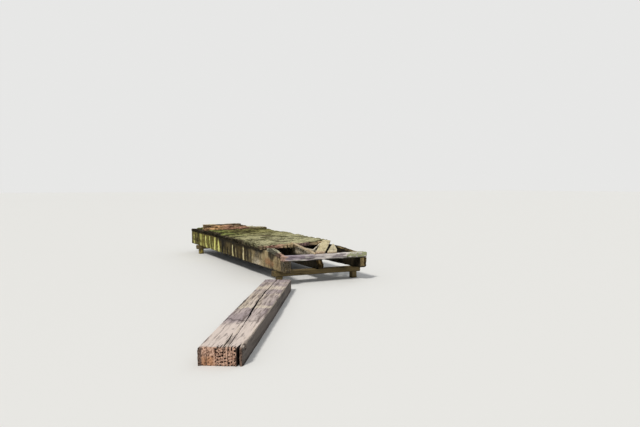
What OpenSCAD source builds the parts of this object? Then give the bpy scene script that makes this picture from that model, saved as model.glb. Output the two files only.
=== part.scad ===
// Old wooden footbridge in two spans: a decked span on three girders, whose near end has broken
// away, and a heavy plank, split from end to end, that leads up to it.
// Millimetres, +Z up, +X from the far bank towards the near end of the plank, +Y to the right
// as one looks towards the far bank. The origin is on the floor, in the middle of the whole.

/* [Girders] */

// Length of the three girders
girder_length = 6550; // [5800:10:7200]
// Depth of each girder
girder_depth = 337; // [300:1:380]
// Thickness of each girder
girder_thickness = 150; // [120:1:180]
// How far back from the near end the top of the left girder has rotted into a slope
left_rot = 750; // [600:10:900]
// How far back from the near end the middle girder still has its full depth
middle_rot = 530; // [510:5:700]
// How far back from the near end the top of the right girder starts to sink
right_rot = 1040; // [800:10:1060]
// How much of its depth the right girder has lost at the near threshold
right_loss = 45; // [10:1:70]

/* [Deck] */

// Width of the deck over the outer faces of the girders
deck_width = 1750; // [1600:10:1900]
// Thickness of the deck boards
board_thickness = 70; // [55:1:85]
// Gap between one board and the next
board_gap = 6; // [2:1:14]
// Most that a board runs out past the girders
board_overhang = 70; // [30:5:100]
// Distance from the girders' near ends to the broken edge, at the left
open_left = 1070; // [950:10:1200]
// Distance from the girders' near ends to the broken edge, at the right
open_right = 1520; // [1350:10:1650]
// How deep the splintered teeth of the broken edge are
tooth_depth = 45; // [20:5:70]

/* [Timbers across the ends] */

// Height of the old sleeper that lies across the far end of the deck
far_timber_height = 160; // [130:1:190]
// Width of the far sleeper
far_timber_width = 250; // [200:5:300]
// Height of the far sleeper's right third, which has rotted and sunk
far_timber_low = 66; // [50:1:90]
// Length of the far sleeper's left end, over which its near side slopes down
far_timber_slope = 420; // [250:10:600]
// How far the far sleeper is shifted to the right
far_timber_shift = 110; // [0:5:160]
// Distance from the girders' far ends to the near side of the far sleeper
far_timber_reach = 990; // [800:10:1200]
// Height of the threshold that is let into the girders' near ends
near_timber_height = 100; // [80:1:120]
// Width of the near threshold
near_timber_width = 180; // [150:5:220]
// How far the near threshold's top lies below the girders' tops
near_timber_drop = 17; // [8:1:30]

/* [Supports] */

// Height of the posts, from the lowest ground to the cap beams
post_height = 130; // [100:1:180]
// Width of the square posts
post_width = 120; // [90:1:150]
// Height of the cap beams
cap_height = 100; // [80:1:130]
// Width of the cap beams
cap_width = 160; // [130:1:190]
// How far a cap beam runs out past the outer girders
cap_overhang = 55; // [20:5:90]
// Distance from the far ends to the middle of the far cap beam
far_cap_inset = 690; // [500:10:900]
// Distance from the near ends to the middle of the near cap beam
near_cap_inset = 420; // [380:5:480]

/* [Split plank] */

// Length of the heavy plank
plank_length = 4430; // [4000:10:4900]
// Width of the heavy plank over both halves
plank_width = 480; // [420:5:540]
// Thickness of the heavy plank
plank_thickness = 195; // [160:1:230]
// Angle between the plank and the decked span
plank_turn = 30.3; // [24:0.1:36]
// Distance along the deck from the girders' near ends to the middle of the plank's far end
plank_gap = 294; // [270:1:360]
// Distance from the left girder's outer face to the middle of the plank's far end
plank_side = 236; // [180:1:300]
// Widest opening of the split that runs along the plank
split_open = 26; // [12:1:36]
// Tightest opening of the split
split_tight = 0.3; // [0.2:0.1:2]
// Bevel worn on the plank's long top edges
plank_wear = 14; // [6:1:22]
// Depth of the deepest rotten cleft in the plank's near end
cleft_depth = 170; // [80:5:240]
// Depth of the other rotten pockets in the near end
pocket_depth = 125; // [60:5:160]
// Length of the second check, which runs back from the near end beside the split
check_length = 620; // [300:10:900]

/* [Loose pieces at the broken end] */

// Width of the fallen deck board
fallen_width = 170; // [140:5:200]
// How far the fallen board's head lies over the broken edge
fallen_over = 60; // [40:5:160]
// Angle of the fallen board to the length of the deck
fallen_turn = 31.5; // [29:0.5:33]
// Thickness of the fallen board and the broken piece beside it
fallen_thickness = 32; // [24:1:45]
// Thickness of the loose lath
lath_thickness = 30; // [20:1:40]
// Angle of the loose lath to the length of the deck
lath_turn = 4; // [0:0.5:8]
// Thickness of the rotten strip on the left girder at its thin end
strip_thickness = 40; // [25:1:45]

/* [Hidden] */

full_boards = 21;
function board_name(i) = str("deck_board_", i < 10 ? "0" : "", i);

// Levels, from the floor up
cap_z = post_height;
girder_z = cap_z + cap_height;
deck_z = girder_z + girder_depth;
top_z = deck_z + board_thickness;
sill_top = deck_z - near_timber_drop;
sill_z = sill_top - near_timber_height;

// The deck: the boards are counted from the far end, and the last two are broken
pitch = (girder_length - open_left) / (full_boards + 1.6);
break_run = open_right - open_left;
break_angle = atan2(deck_width, -break_run);
break_x = girder_length - open_left;
seat_fit = 4;
far_timber_x = far_timber_reach - far_timber_width;

// The outline's reach, from which the whole is centred
reach_x = girder_length + plank_gap + plank_length * cos(plank_turn)
        + plank_width / 2 * sin(plank_turn);
low_y = -plank_side - plank_length * sin(plank_turn) - plank_width / 2 * cos(plank_turn);
high_y = deck_width + max(cap_overhang, far_timber_shift);
mid_x = reach_x / 2;
mid_y = (low_y + high_y) / 2;

// A steady spread of values between 0 and 1, so that no two boards are alike
function vary(i, k) = 0.5 + 0.25 * (sin(i * 97 + k * 51) + sin(i * 41 + k * 131));

module placed() { translate([-mid_x, -mid_y, 0]) children(); }

// The three girders

module girder(y, outline) {
  placed() translate([0, y + girder_thickness, 0]) rotate([90, 0, 0])
    linear_extrude(girder_thickness) polygon(outline);
}

// The outer girders are notched at the near end for the threshold
notch_x = girder_length - near_timber_width - seat_fit;
worn = 25;
strip_low = sill_z + 50;

module girder_left() {
  color([0.36, 0.33, 0.22]) girder(0, [
    [worn, girder_z], [girder_length - worn, girder_z], [girder_length, girder_z + 60],
    [girder_length, sill_z], [notch_x, sill_z], [notch_x, strip_low],
    [girder_length - left_rot, deck_z], [0, deck_z], [0, girder_z + worn]]);
}

module girder_right() {
  color([0.33, 0.30, 0.22]) girder(deck_width - girder_thickness, [
    [worn, girder_z], [girder_length - 2 * worn, girder_z],
    [girder_length, girder_z + 45], [girder_length, sill_z], [notch_x, sill_z],
    [notch_x, deck_z - right_loss], [girder_length - 0.55 * right_rot, deck_z - 0.7 * right_loss],
    [girder_length - 0.8 * right_rot, deck_z - 0.25 * right_loss],
    [girder_length - right_rot, deck_z], [0, deck_z], [0, girder_z + worn]]);
}

module girder_middle() {
  end = girder_length;
  color([0.42, 0.36, 0.25]) girder((deck_width - girder_thickness) / 2, [
    [worn, girder_z], [end - 275, girder_z], [end - 245, girder_z + 40],
    [end - 262, girder_z + 95], [end - 330, girder_z + 0.45 * girder_depth],
    [end - 345, girder_z + 0.62 * girder_depth], [end - 440, girder_z + 0.8 * girder_depth],
    [end - middle_rot + 60, deck_z - 16], [end - middle_rot, deck_z],
    [0, deck_z], [0, girder_z + worn]]);
}

// Cap beams and posts at the two supports

module cap_beam(x, turn) {
  far = deck_width + cap_overhang;
  placed() translate([x - cap_width / 2, 0, cap_z]) linear_extrude(cap_height)
    polygon(turn
      ? [[0, -cap_overhang + 20], [35, -cap_overhang], [cap_width, -cap_overhang + 12],
         [cap_width, far - 25], [cap_width - 50, far], [0, far - 8]]
      : [[0, -cap_overhang], [cap_width - 30, -cap_overhang + 6],
         [cap_width, -cap_overhang + 34], [cap_width, far], [60, far - 14], [0, far - 40]]);
}

module far_cap_beam() { color([0.30, 0.27, 0.20]) cap_beam(far_cap_inset, true); }
module near_cap_beam() {
  color([0.30, 0.27, 0.20]) cap_beam(girder_length - near_cap_inset, false);
}

module post(x, y, k) {
  h = post_width / 2;
  placed() translate([x, y, 0]) rotate([0, 0, 90 * k]) linear_extrude(post_height)
    polygon([[-h, -h + 14], [-h + 18, -h], [h - 9, -h], [h, -h + 11],
             [h, h - 22], [h - 16, h], [-h + 8, h], [-h, h - 10]]);
}

left_post_y = girder_thickness / 2;
right_post_y = deck_width - girder_thickness / 2;
near_cap_x = girder_length - near_cap_inset;
module far_post_left() { color([0.46, 0.42, 0.22]) post(far_cap_inset, left_post_y, 0); }
module far_post_right() { color([0.36, 0.32, 0.22]) post(far_cap_inset, right_post_y, 1); }
module near_post_left() { color([0.36, 0.32, 0.22]) post(near_cap_x, left_post_y, 2); }
module near_post_right() { color([0.36, 0.32, 0.22]) post(near_cap_x, right_post_y, 3); }

// The deck boards: each has worn ends, and a drying split in one of them

// What lies past the broken edge, with its splintered teeth cut back into the boards
module past_break() {
  step = 88;
  count = ceil(deck_width / step) + 4;
  // One of the teeth is where the loose lath rests
  first = lath_rest - step * ceil(lath_rest / step);
  reach = open_right + board_overhang;
  translate([break_x, 0, deck_z - 10]) rotate([0, 0, break_angle])
    linear_extrude(board_thickness + 20) polygon(concat(
      [[first - 3 * step, -reach], [first - 3 * step, 0]],
      [for (i = [-2 : count], j = [0, 1])
        [first + i * step + (j == 0 ? 0 : step * (0.25 + 0.5 * vary(i, 3))),
         j == 0 ? 0 : tooth_depth * (0.25 + 0.75 * vary(i, 5))]],
      [[first + (count + 1) * step, 0], [first + (count + 1) * step, -reach]]));
}

function left_end(i) =
  i >= 17 ? -board_overhang * (0.7 + 0.3 * vary(i, 1))
  : i >= 5 ? 0.42 * girder_thickness * (vary(i, 1) - 0.1)
  : -0.5 * board_overhang * vary(i, 1);
// The broken boards end where too little of their width is left
function broken_end(i, left) = (break_x - (i - 1) * pitch - tooth_depth - left)
                               * deck_width / break_run;
function right_end(i) =
  i > full_boards ? broken_end(i, i == full_boards + 1 ? 45 : 25) : deck_width + 0.4 * board_overhang * vary(i, 2)
  - (i > 10 ? 0.35 * girder_thickness * (i - 10) / 11 * (0.5 + vary(i, 6)) : 0);
// Boards that carry something keep their whole thickness
function carries(i) = i >= 18
  || (i * pitch > far_timber_x - 20 && (i - 1) * pitch < far_timber_reach + 20);
function board_top(i) = carries(i) ? board_thickness : board_thickness - 5 * vary(i, 4);

module board_shape(i) {
  x0 = (i - 1) * pitch;
  x1 = i * pitch - board_gap;
  w = x1 - x0;
  l = left_end(i);
  r = right_end(i);
  s = x0 + w * (0.3 + 0.4 * vary(i, 7));
  deep = i > full_boards ? 60 : 120 + 160 * vary(i, 8);
  difference() {
    translate([0, 0, deck_z]) linear_extrude(board_top(i)) polygon([
      [x0, l + 14 * vary(i, 9)], [x0 + 0.35 * w, l - 10 * vary(i, 10)],
      [x0 + 0.7 * w, l + 12 * vary(i, 11)], [x1, l + 20 * vary(i, 12)],
      [x1, r - 18 * vary(i, 13)], [x0 + 0.6 * w, r + 6 * vary(i, 14)],
      [x0 + 0.25 * w, r - 16 * vary(i, 15)], [x0, r - 6 * vary(i, 16)]]);
    translate([0, 0, deck_z - 1]) linear_extrude(board_thickness + 2)
      polygon(vary(i, 17) > 0.5 || i > full_boards
        ? [[s - 6, l - 40], [s + 6, l - 40], [s + 1, l + deep]]
        : [[s - 6, r + 40], [s + 6, r + 40], [s - 1, r - deep]]);
  }
}

module board(i) {
  g = 0.03 * vary(i, 20);
  color([0.44 + g, 0.45 + g, 0.34])
    placed()
      if (i >= full_boards - 2) difference() { board_shape(i); past_break(); }
      else board_shape(i);
}

module broken_board_long() { board(full_boards + 1); }
module broken_board_short() { board(full_boards + 2); }

// The timbers that lie across the two ends

module far_sleeper() {
  w = far_timber_width;
  h = far_timber_height;
  len = deck_width;
  color([0.45, 0.26, 0.17])
    placed() translate([far_timber_x, far_timber_shift, top_z]) difference() {
      // The top has rotted out into a trough between a low near rim and a high far one
      translate([0, len, 0]) rotate([90, 0, 0]) linear_extrude(len) polygon([
        [0, 0], [w, 0], [w, 0.7 * h], [w - 16, 0.8 * h], [w - 44, 0.82 * h],
        [w - 70, 0.66 * h], [0.42 * w, 0.6 * h], [0.26 * w, 0.7 * h], [0.2 * w, 0.98 * h],
        [0.1 * w, h], [0, h - 24]]);
      // The near face has rotted back in hollows, and the right third has sunk
      translate([w + 30, 0.18 * len, -1]) cylinder(h = 0.6 * h, r = 55, $fn = 10);
      translate([w + 22, 0.46 * len, 0.3 * h]) cylinder(h = h, r = 50, $fn = 9);
      translate([-1, 0.66 * len, far_timber_low]) rotate([-2, 0, 0]) cube([w + 2, len, h]);
      translate([-1, 0.6 * len, 0.78 * h]) rotate([-14, 0, 0]) cube([w + 2, 0.08 * len, h]);
      // The near rim slopes down to the left end
      translate([0.35 * w, -1, 0.36 * h]) rotate([atan2(0.5 * h, far_timber_slope), 0, 0])
        translate([0, -far_timber_slope, 0]) cube([w, 2 * far_timber_slope, h]);
    }
}

module near_threshold() {
  w = near_timber_width;
  h = near_timber_height;
  len = deck_width;
  color([0.42, 0.36, 0.36])
    placed() translate([girder_length - w, 0, sill_z]) difference() {
      translate([0, len, 0]) rotate([90, 0, 0]) linear_extrude(len) polygon([
        [10, 0], [w - 16, 0], [w, 18], [w, h - 16], [w - 10, h - 2], [w - 16, h],
        [8, h], [0, h - 10], [0, 12]]);
      // The near lower edge is eaten away in long shallow hollows between the girders
      translate([w + 46, 0.27 * len, -1]) scale([1, 4.2, 1])
        cylinder(h = 0.42 * h, r = 62, $fn = 12);
      translate([w + 46, 0.7 * len, -1]) scale([1, 3.2, 1])
        cylinder(h = 0.36 * h, r = 60, $fn = 11);
    }
}

// A rotten strip that lies on the left girder, from its full top down the rotted slope

module rotten_strip() {
  a = girder_length - left_rot;
  b = notch_x;
  t = strip_thickness;
  wide = 0.85 * girder_thickness;
  color([0.45, 0.40, 0.30])
    placed() difference() {
      translate([0, wide - 15, 0]) rotate([90, 0, 0]) linear_extrude(wide) polygon([
        [a - 85, deck_z], [a, deck_z], [b, strip_low], [b, strip_low + t],
        [b - 130, strip_low + t + 22], [a + 40, deck_z + 1.6 * t], [a - 30, deck_z + 1.5 * t],
        [a - 70, deck_z + 0.8 * t]]);
      translate([a - 120, 0.4 * wide, strip_low]) linear_extrude(400)
        polygon([[0, -16], [0, 22], [290, 3]]);
      translate([b + 30, 0.2 * wide, strip_low - 50]) linear_extrude(400)
        polygon([[0, -30], [0, 26], [-150, -4]]);
    }
}

// The loose pieces lie in planes that rest on the broken edge, or on the right girder, and
// come down to the threshold. A plan point is [x, y]; along is its place on the broken edge
// and back is its distance behind that edge.

edge_dir = [cos(break_angle), sin(break_angle)];
function along(p) = (p[0] - break_x) * edge_dir[0] + p[1] * edge_dir[1];
function back(p) = -(p[0] - break_x) * edge_dir[1] + p[1] * edge_dir[0];
function lean(points, drop) = asin(drop / -min([for (p = points) back(p)]));

module on_edge(points, drop, thick, outline) {
  placed() translate([break_x, 0, top_z]) rotate([0, 0, break_angle])
    rotate([lean(points, drop), 0, 0]) linear_extrude(thick)
      polygon([for (p = outline) [along(p), back(p)]]);
}

// The fallen deck board: its foot is on the threshold and its head on the broken edge
fallen_foot = [girder_length - 0.56 * near_timber_width, 0.39 * deck_width];
fallen_dir = [-cos(fallen_turn), sin(fallen_turn)];
fallen_side = [sin(fallen_turn), cos(fallen_turn)];
function fallen(s, c) = fallen_foot + s * fallen_dir + c * fallen_side;
// Its length, from where its left side crosses the broken edge
fallen_length = fallen_over
  - back(fallen_foot) / (fallen_dir[1] * edge_dir[0] - fallen_dir[0] * edge_dir[1]);
fallen_outline = let (w = fallen_width, n = fallen_length)
  [fallen(0, 0), fallen(30, 0.3 * w), fallen(24, 0.42 * w), fallen(70, 0.7 * w),
   fallen(62, 0.82 * w), fallen(100, w), fallen(0.5 * n, w + 5), fallen(n - 26, w),
   fallen(n, 0.72 * w), fallen(n - 14, 0.4 * w), fallen(n - 4, 0), fallen(0.42 * n, -4)];
fallen_drop = top_z - sill_top;

module fallen_board() {
  color([0.60, 0.52, 0.36])
    on_edge(fallen_outline, fallen_drop, fallen_thickness, fallen_outline);
}

// A strip has split from its left side and stays joined to it near the head
module fallen_splinter() {
  n = fallen_length;
  near = 0.17 * n;
  join = 0.7 * n;
  color([0.64, 0.56, 0.42])
    on_edge(fallen_outline, fallen_drop, 0.75 * fallen_thickness,
      [side_point(join), side_point(join + 90), fallen(join + 95, -20), fallen(join - 40, -30),
       fallen(near + 30, -86), fallen(near - 20, -72), fallen(near + 60, -58),
       fallen(join - 90, -8)]);
}
// A point on the left side of the fallen board, which is slightly bowed
function side_point(s) = let (n = fallen_length, m = 0.42 * n)
  fallen(s, -4 + 4 * (s - m) / (n - 4 - m));

// The lath beside it
lath_dir = [-cos(lath_turn), sin(lath_turn)];
lath_side = [sin(lath_turn), cos(lath_turn)];
lath_foot = fallen_foot + [0.25 * near_timber_width, -0.9 * lath_thickness - 12];
lath_length = open_left + 0.4 * break_run + 30;
// Where the middle of the lath crosses the broken edge, measured along it
lath_rest = let (p = lath(0, lath_thickness / 2), q = lath(lath_length, lath_thickness / 2),
                 t = back(p) / (back(p) - back(q)))
            along(p + t * (q - p));
function lath(s, c) = lath_foot + s * lath_dir + c * lath_side;

module loose_lath() {
  t = lath_thickness;
  outline = [lath(0, 0), lath(12, 0.9 * t), lath(0.6 * lath_length, t + 4),
             lath(lath_length, 1.2 * t), lath(lath_length + 40, 0.3 * t),
             lath(lath_length - 10, 0), lath(0.5 * lath_length, 3)];
  color([0.62, 0.50, 0.42]) on_edge(outline, top_z - sill_top, t, outline);
}

// The broken piece lies on the right girder's inner edge and comes down to the threshold
inner_y = deck_width - girder_thickness;
piece_clear = fallen_width + 42;
function piece(s, c) = fallen(s, piece_clear + c);

module broken_piece() {
  // Its head lies this far in on the right girder
  n = (inner_y + 0.4 * girder_thickness - piece(0, 20)[1]) / sin(fallen_turn);
  outline = [piece(117, 0), piece(150, 50), piece(140, 80), piece(190, 140), piece(215, 180),
             piece(0.35 * n, 165), piece(0.6 * n, 120), piece(0.83 * n, 74),
             piece(n - 20, 40), piece(n, 12), piece(0.8 * n, 4)];
  low = inner_y - min([for (p = outline) p[1]]);
  color([0.62, 0.54, 0.44])
    placed() translate([0, inner_y, deck_z]) rotate([asin((deck_z - sill_top) / low), 0, 0])
      linear_extrude(fallen_thickness) polygon([for (p = outline) [p[0], p[1] - inner_y]]);
}

// The heavy plank, split from end to end. Its own frame runs from its far end, x = 0, to its
// near end, with y = 0 along its left side.

split_place = [[0, 0.45], [0.114, 0.45], [0.301, 0.42], [0.481, 0.46], [0.617, 0.527],
               [0.719, 0.576], [0.852, 0.63], [1, 0.657]];
split_share = [[0, 0.3], [0.114, 0.12], [0.25, 0.5], [0.301, 0.62], [0.38, 0.3], [0.45, 0.7],
               [0.55, 1], [0.65, 0.6], [0.72, 0.1], [0.8, 0], [0.9, 0.12], [0.97, 0.2], [1, 0.06]];
split_steps = 40;
function split_mid(t) = plank_width * (lookup(t, split_place) + 0.006 * sin(t * 2300)
                                       + 0.004 * sin(t * 5100));
function split_half(t) = (split_tight + (split_open - split_tight) * lookup(t, split_share)) / 2;
function split_line(side) = [for (i = [0 : split_steps]) let (t = i / split_steps)
  [t * plank_length, split_mid(t) + side * split_half(t)]];

module on_plank() {
  placed() translate([girder_length + plank_gap, -plank_side, 0])
    rotate([0, 0, -plank_turn]) translate([0, -plank_width / 2, 0]) children();
}

// A rotten pocket in the end grain, wide at the end and closing as it goes in
module pocket(share, wide, depth_share) {
  deep = depth_share * pocket_depth;
  translate([plank_length, share * plank_width, -1]) linear_extrude(plank_thickness + 2)
    polygon([[1, -wide / 2], [1, wide / 2], [-0.4 * deep, 0.3 * wide], [-deep, 0.1 * wide],
             [-0.6 * deep, -0.25 * wide]]);
}

// The bevel worn along a top edge that runs with the plank
module edge_wear(y) {
  translate([-10, y, plank_thickness]) rotate([45, 0, 0])
    translate([0, -plank_wear * 0.7, -plank_wear * 0.7])
      cube([plank_length + 20, plank_wear * 1.4, plank_wear * 1.4]);
}

// The bevel worn across the near end
module end_wear(deep) {
  translate([plank_length, -10, plank_thickness]) rotate([0, 45, 0])
    translate([-deep * 0.7, 0, -deep * 0.7])
      cube([deep * 1.4, plank_width + 20, deep * 1.4]);
}

module plank_left_half() {
  color([0.52, 0.47, 0.43])
    on_plank() difference() {
      linear_extrude(plank_thickness) polygon(concat(
        [[12, 10], [4, 0.2 * plank_width]], split_line(-1),
        [[plank_length - 8, 0.3 * plank_width], [plank_length - 2, 7], [plank_length - 14, 0],
         [0.55 * plank_length, 0], [0.3 * plank_length, 5]]));
      edge_wear(0);
      end_wear(12);
      pocket(0.435, 11, 0.76);
      pocket(0.507, 15, 1);
      pocket(0.596, 12, 0.64);
      pocket(0.2, 6, 0.44);
      // A second check runs back beside the split
      translate([plank_length, 0.565 * plank_width, 0.55 * plank_thickness])
        linear_extrude(plank_thickness)
          polygon([[5, -4], [5, 3], [-0.55 * check_length, -4], [-check_length, -30],
                   [-0.53 * check_length, -11]]);
    }
}

module plank_right_half() {
  color([0.50, 0.45, 0.42])
    on_plank() difference() {
      linear_extrude(plank_thickness) polygon(concat(
        [[14, plank_width - 12]],
        [[2, 0.7 * plank_width]], split_line(1),
        [[plank_length - 12, 0.75 * plank_width], [plank_length - 4, 0.84 * plank_width],
         [plank_length - 10, plank_width - 15], [plank_length - 52, plank_width - 3],
         [0.6 * plank_length, plank_width], [0.25 * plank_length, plank_width - 4]]));
      edge_wear(plank_width);
      end_wear(20);
      pocket(0.745, 12, 0.88);
      pocket(0.805, 10, 0.68);
      pocket(0.885, 30, cleft_depth / pocket_depth);
      // Two bites out of the right top edge
      translate([0.21 * plank_length, plank_width + 12, 0.6 * plank_thickness])
        cylinder(h = plank_thickness, r = 34, $fn = 9);
      translate([0.965 * plank_length, plank_width + 16, 0.7 * plank_thickness])
        cylinder(h = plank_thickness, r = 38, $fn = 8);
    }
}

girder_left();
girder_middle();
girder_right();
far_cap_beam();
near_cap_beam();
far_post_left();
far_post_right();
near_post_left();
near_post_right();
far_sleeper();
near_threshold();
for (i = [1 : full_boards])
  board(i);
broken_board_long();
broken_board_short();
rotten_strip();
fallen_board();
fallen_splinter();
broken_piece();
loose_lath();
plank_left_half();
plank_right_half();
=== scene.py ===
"""An old wooden footbridge: a boarded span on three girders, broken away at its near end,
and a heavy plank, split from end to end, that leads up to it."""

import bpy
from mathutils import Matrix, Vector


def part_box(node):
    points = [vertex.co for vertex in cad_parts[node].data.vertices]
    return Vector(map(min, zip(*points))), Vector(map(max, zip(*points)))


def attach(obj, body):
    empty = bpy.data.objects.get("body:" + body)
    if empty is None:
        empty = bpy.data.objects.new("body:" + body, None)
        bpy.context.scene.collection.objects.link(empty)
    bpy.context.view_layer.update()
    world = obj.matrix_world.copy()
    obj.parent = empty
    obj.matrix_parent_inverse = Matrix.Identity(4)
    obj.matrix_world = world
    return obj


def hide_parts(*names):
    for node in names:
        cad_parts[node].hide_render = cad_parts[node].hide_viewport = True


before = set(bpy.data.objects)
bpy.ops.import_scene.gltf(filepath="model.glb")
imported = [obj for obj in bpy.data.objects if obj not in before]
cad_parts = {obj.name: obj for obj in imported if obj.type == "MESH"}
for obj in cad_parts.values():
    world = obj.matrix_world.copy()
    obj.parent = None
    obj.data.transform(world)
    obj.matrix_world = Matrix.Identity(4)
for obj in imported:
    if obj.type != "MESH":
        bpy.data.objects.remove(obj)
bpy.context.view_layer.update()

import math

import bmesh
import bpy
import numpy as np
from mathutils import Matrix, Vector

scene = bpy.context.scene
scene.view_settings.view_transform = "Standard"

# Camera, floor and light
# The eye is 1.65 m above the plank's top, a little to the left of the bridge's line, and looks
# slightly down. Places on the site are measured from the left girder's near end.

girder_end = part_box("girder_left")[1].x
girder_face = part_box("girder_left")[0].y


def on_site(x, y, z=0.0):
    """A place given from the left girder's near end, in the frame of the whole bridge."""
    return Vector((girder_end + x, girder_face + y, z))


camera = bpy.data.objects.new("camera", bpy.data.cameras.new("camera"))
scene.collection.objects.link(camera)
camera.data.sensor_width = 36
camera.data.lens = 33.67
camera.location = on_site(9.9577, -4.251, 1.8478)
camera.rotation_euler = (math.radians(90 - 2.725), 0, math.radians(63.4364))
camera.data.clip_start, camera.data.clip_end = 0.1, 400
scene.camera = camera

pale = 0.8
floor_mesh = bpy.data.meshes.new("floor")
floor_reach = 150
corners = ((-1, -1), (1, -1), (1, 1), (-1, 1))
floor_corners = [(x * floor_reach, y * floor_reach, 0) for x, y in corners]
floor_mesh.from_pydata(floor_corners, [], [(0, 1, 2, 3)])
floor = bpy.data.objects.new("floor", floor_mesh)
scene.collection.objects.link(floor)
floor_paint = bpy.data.materials.new("floor paint")
floor_paint.use_nodes = True
floor_shader = floor_paint.node_tree.nodes["Principled BSDF"]
floor_shader.inputs["Base Color"].default_value = (pale, pale, pale * 0.985, 1)
floor_shader.inputs["Roughness"].default_value = 0.9
floor_shader.inputs["Specular IOR Level"].default_value = 0.1
floor_mesh.materials.append(floor_paint)

world = bpy.data.worlds.new("studio")
scene.world = world
world.use_nodes = True
sky = world.node_tree
sky.nodes.clear()
sky_out = sky.nodes.new("ShaderNodeOutputWorld")
sky_light = sky.nodes.new("ShaderNodeBackground")
sky_light.inputs["Color"].default_value = (0.96, 0.98, 1.0, 1)
sky_light.inputs["Strength"].default_value = 0.44
sky_seen = sky.nodes.new("ShaderNodeBackground")
sky_seen.inputs["Color"].default_value = (pale, pale, pale * 0.99, 1)
sky_seen.inputs["Strength"].default_value = 1.0
sky_mix = sky.nodes.new("ShaderNodeMixShader")
sky_ray = sky.nodes.new("ShaderNodeLightPath")
sky.links.new(sky_ray.outputs["Is Camera Ray"], sky_mix.inputs[0])
sky.links.new(sky_light.outputs[0], sky_mix.inputs[1])
sky.links.new(sky_seen.outputs[0], sky_mix.inputs[2])
sky.links.new(sky_mix.outputs[0], sky_out.inputs[0])


def add_lamp(name, towards, strength, softness, colour):
    """A broad soft lamp, far off, that shines along the given direction."""
    lamp = bpy.data.lights.new(name, "SUN")
    lamp.energy, lamp.angle, lamp.color = strength, math.radians(softness), colour
    holder = bpy.data.objects.new(name, lamp)
    scene.collection.objects.link(holder)
    holder.rotation_euler = Vector(towards).to_track_quat("-Z", "Y").to_euler()


add_lamp("main lamp", (-0.42, 0.62, -0.8), 2.35, 9, (1.0, 0.965, 0.9))
add_lamp("fill lamp", (0.5, -0.7, -0.6), 0.25, 40, (0.95, 0.98, 1.0))


# The three girders
# Deep sawn timbers on edge, rough and damp, with pale lichen in upright streaks on the left
# one's outer face. The left and the middle one have rotted at the near end. Shade is painted on
# their inner faces, on their undersides and below the deck boards.


def drift(points, seed):
    """Smooth random values between -1 and 1, one cell to a unit, at an array of points."""
    cell = np.floor(points).astype(np.int64)
    part = points - cell
    part = part * part * (3 - 2 * part)
    total = np.zeros(len(points))
    for corner in range(8):
        step = np.array([corner & 1, corner >> 1 & 1, corner >> 2 & 1])
        at = cell + step
        value = at[:, 0] * 73856093 ^ at[:, 1] * 19349663 ^ at[:, 2] * 83492791 ^ seed * 6542989
        value = (value ^ value >> 13) * 1274126177 & 0x7FFFFFFF
        value = value ^ value >> 15
        share = np.where(step, part, 1 - part).prod(1)
        total += share * ((value & 0xFFFF) / 32767.5 - 1)
    return total


def drifts(points, *layers):
    """A sum of drifts, each given by its cells to the metre, its seed and its size."""
    return sum(drift(points * cells, seed) * size for cells, seed, size in layers)


def bits(points, seed, more):
    """Random values like drift, but only their upper part: loose bits from 0 to 1."""
    return np.clip(drift(points, seed) + more, 0, 1)


def ramp(low, high, values):
    """From 0 to 1 as the values go from one limit to the other, with a soft start and end."""
    part = np.clip((values - low) / (high - low), 0, 1)
    return part * part * (3 - 2 * part)


def cut_across(shape, way, step):
    """Cuts every face at even places along the given direction, about a step apart."""

    def reach(face):
        places = [corner.co.dot(way) for corner in face.verts]
        return face, min(places), max(places)

    waiting = [reach(face) for face in shape.faces]
    low, high = min(entry[1] for entry in waiting), max(entry[2] for entry in waiting)
    count = max(1, round((high - low) / step))
    for i in range(1, count):
        at = low + (high - low) * i / count
        waiting = [entry for entry in waiting if entry[2] > at + 1e-5]
        across = [entry[0] for entry in waiting if entry[1] < at - 1e-5]
        waiting = [entry for entry in waiting if entry[1] >= at - 1e-5]
        parts = set(across)
        for face in across:
            parts.update(face.edges)
            parts.update(face.verts)
        cut = bmesh.ops.bisect_plane(
            shape, geom=list(parts), dist=1e-6, plane_co=way * at, plane_no=way
        )
        ahead = (reach(part) for part in cut["geom"] if isinstance(part, bmesh.types.BMFace))
        waiting += [entry for entry in ahead if entry[2] > at + 1e-5]


def new_piece(shape, name):
    """A smooth piece in the scene, from a finished shape."""
    mesh = bpy.data.meshes.new(name)
    shape.to_mesh(mesh)
    shape.free()
    mesh.polygons.foreach_set("use_smooth", [True] * len(mesh.polygons))
    piece = bpy.data.objects.new(name, mesh)
    scene.collection.objects.link(piece)
    return piece


def fine_mesh(node, kind, along, side, cells):
    """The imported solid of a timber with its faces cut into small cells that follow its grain,
    and what read_points says of it. The cells are given along the grain, across it and up."""
    along, side = Vector(along).normalized(), Vector(side).normalized()
    up = along.cross(side)
    shape = bmesh.new()
    shape.from_mesh(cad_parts[node].data)
    bmesh.ops.remove_doubles(shape, verts=shape.verts, dist=1e-5)
    bmesh.ops.dissolve_limit(shape, angle_limit=0.002, verts=shape.verts, edges=shape.edges)
    bmesh.ops.triangulate(shape, faces=shape.faces, ngon_method="EAR_CLIP")
    for way, step in ((side, cells[1]), (up, cells[2]), (along, cells[0])):
        cut_across(shape, way, step)
    # The slanting cuts between triangles of one flat face are taken out again
    shape.normal_update()
    slanting = []
    for edge in shape.edges:
        first, second = edge.link_faces
        run = (edge.verts[1].co - edge.verts[0].co).normalized()
        if first.normal.dot(second.normal) > 0.99999:
            if max(abs(run.dot(way)) for way in (along, side, up)) < 0.99999:
                slanting.append(edge)
    bmesh.ops.dissolve_edges(shape, edges=slanting, use_verts=False, use_face_split=False)
    bmesh.ops.dissolve_degenerate(shape, dist=0.0004, edges=shape.edges)
    bmesh.ops.triangulate(shape, faces=[face for face in shape.faces if len(face.verts) > 4])
    piece = new_piece(shape, f"{node}_{kind}")
    return (piece, *read_points(piece))


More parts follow.
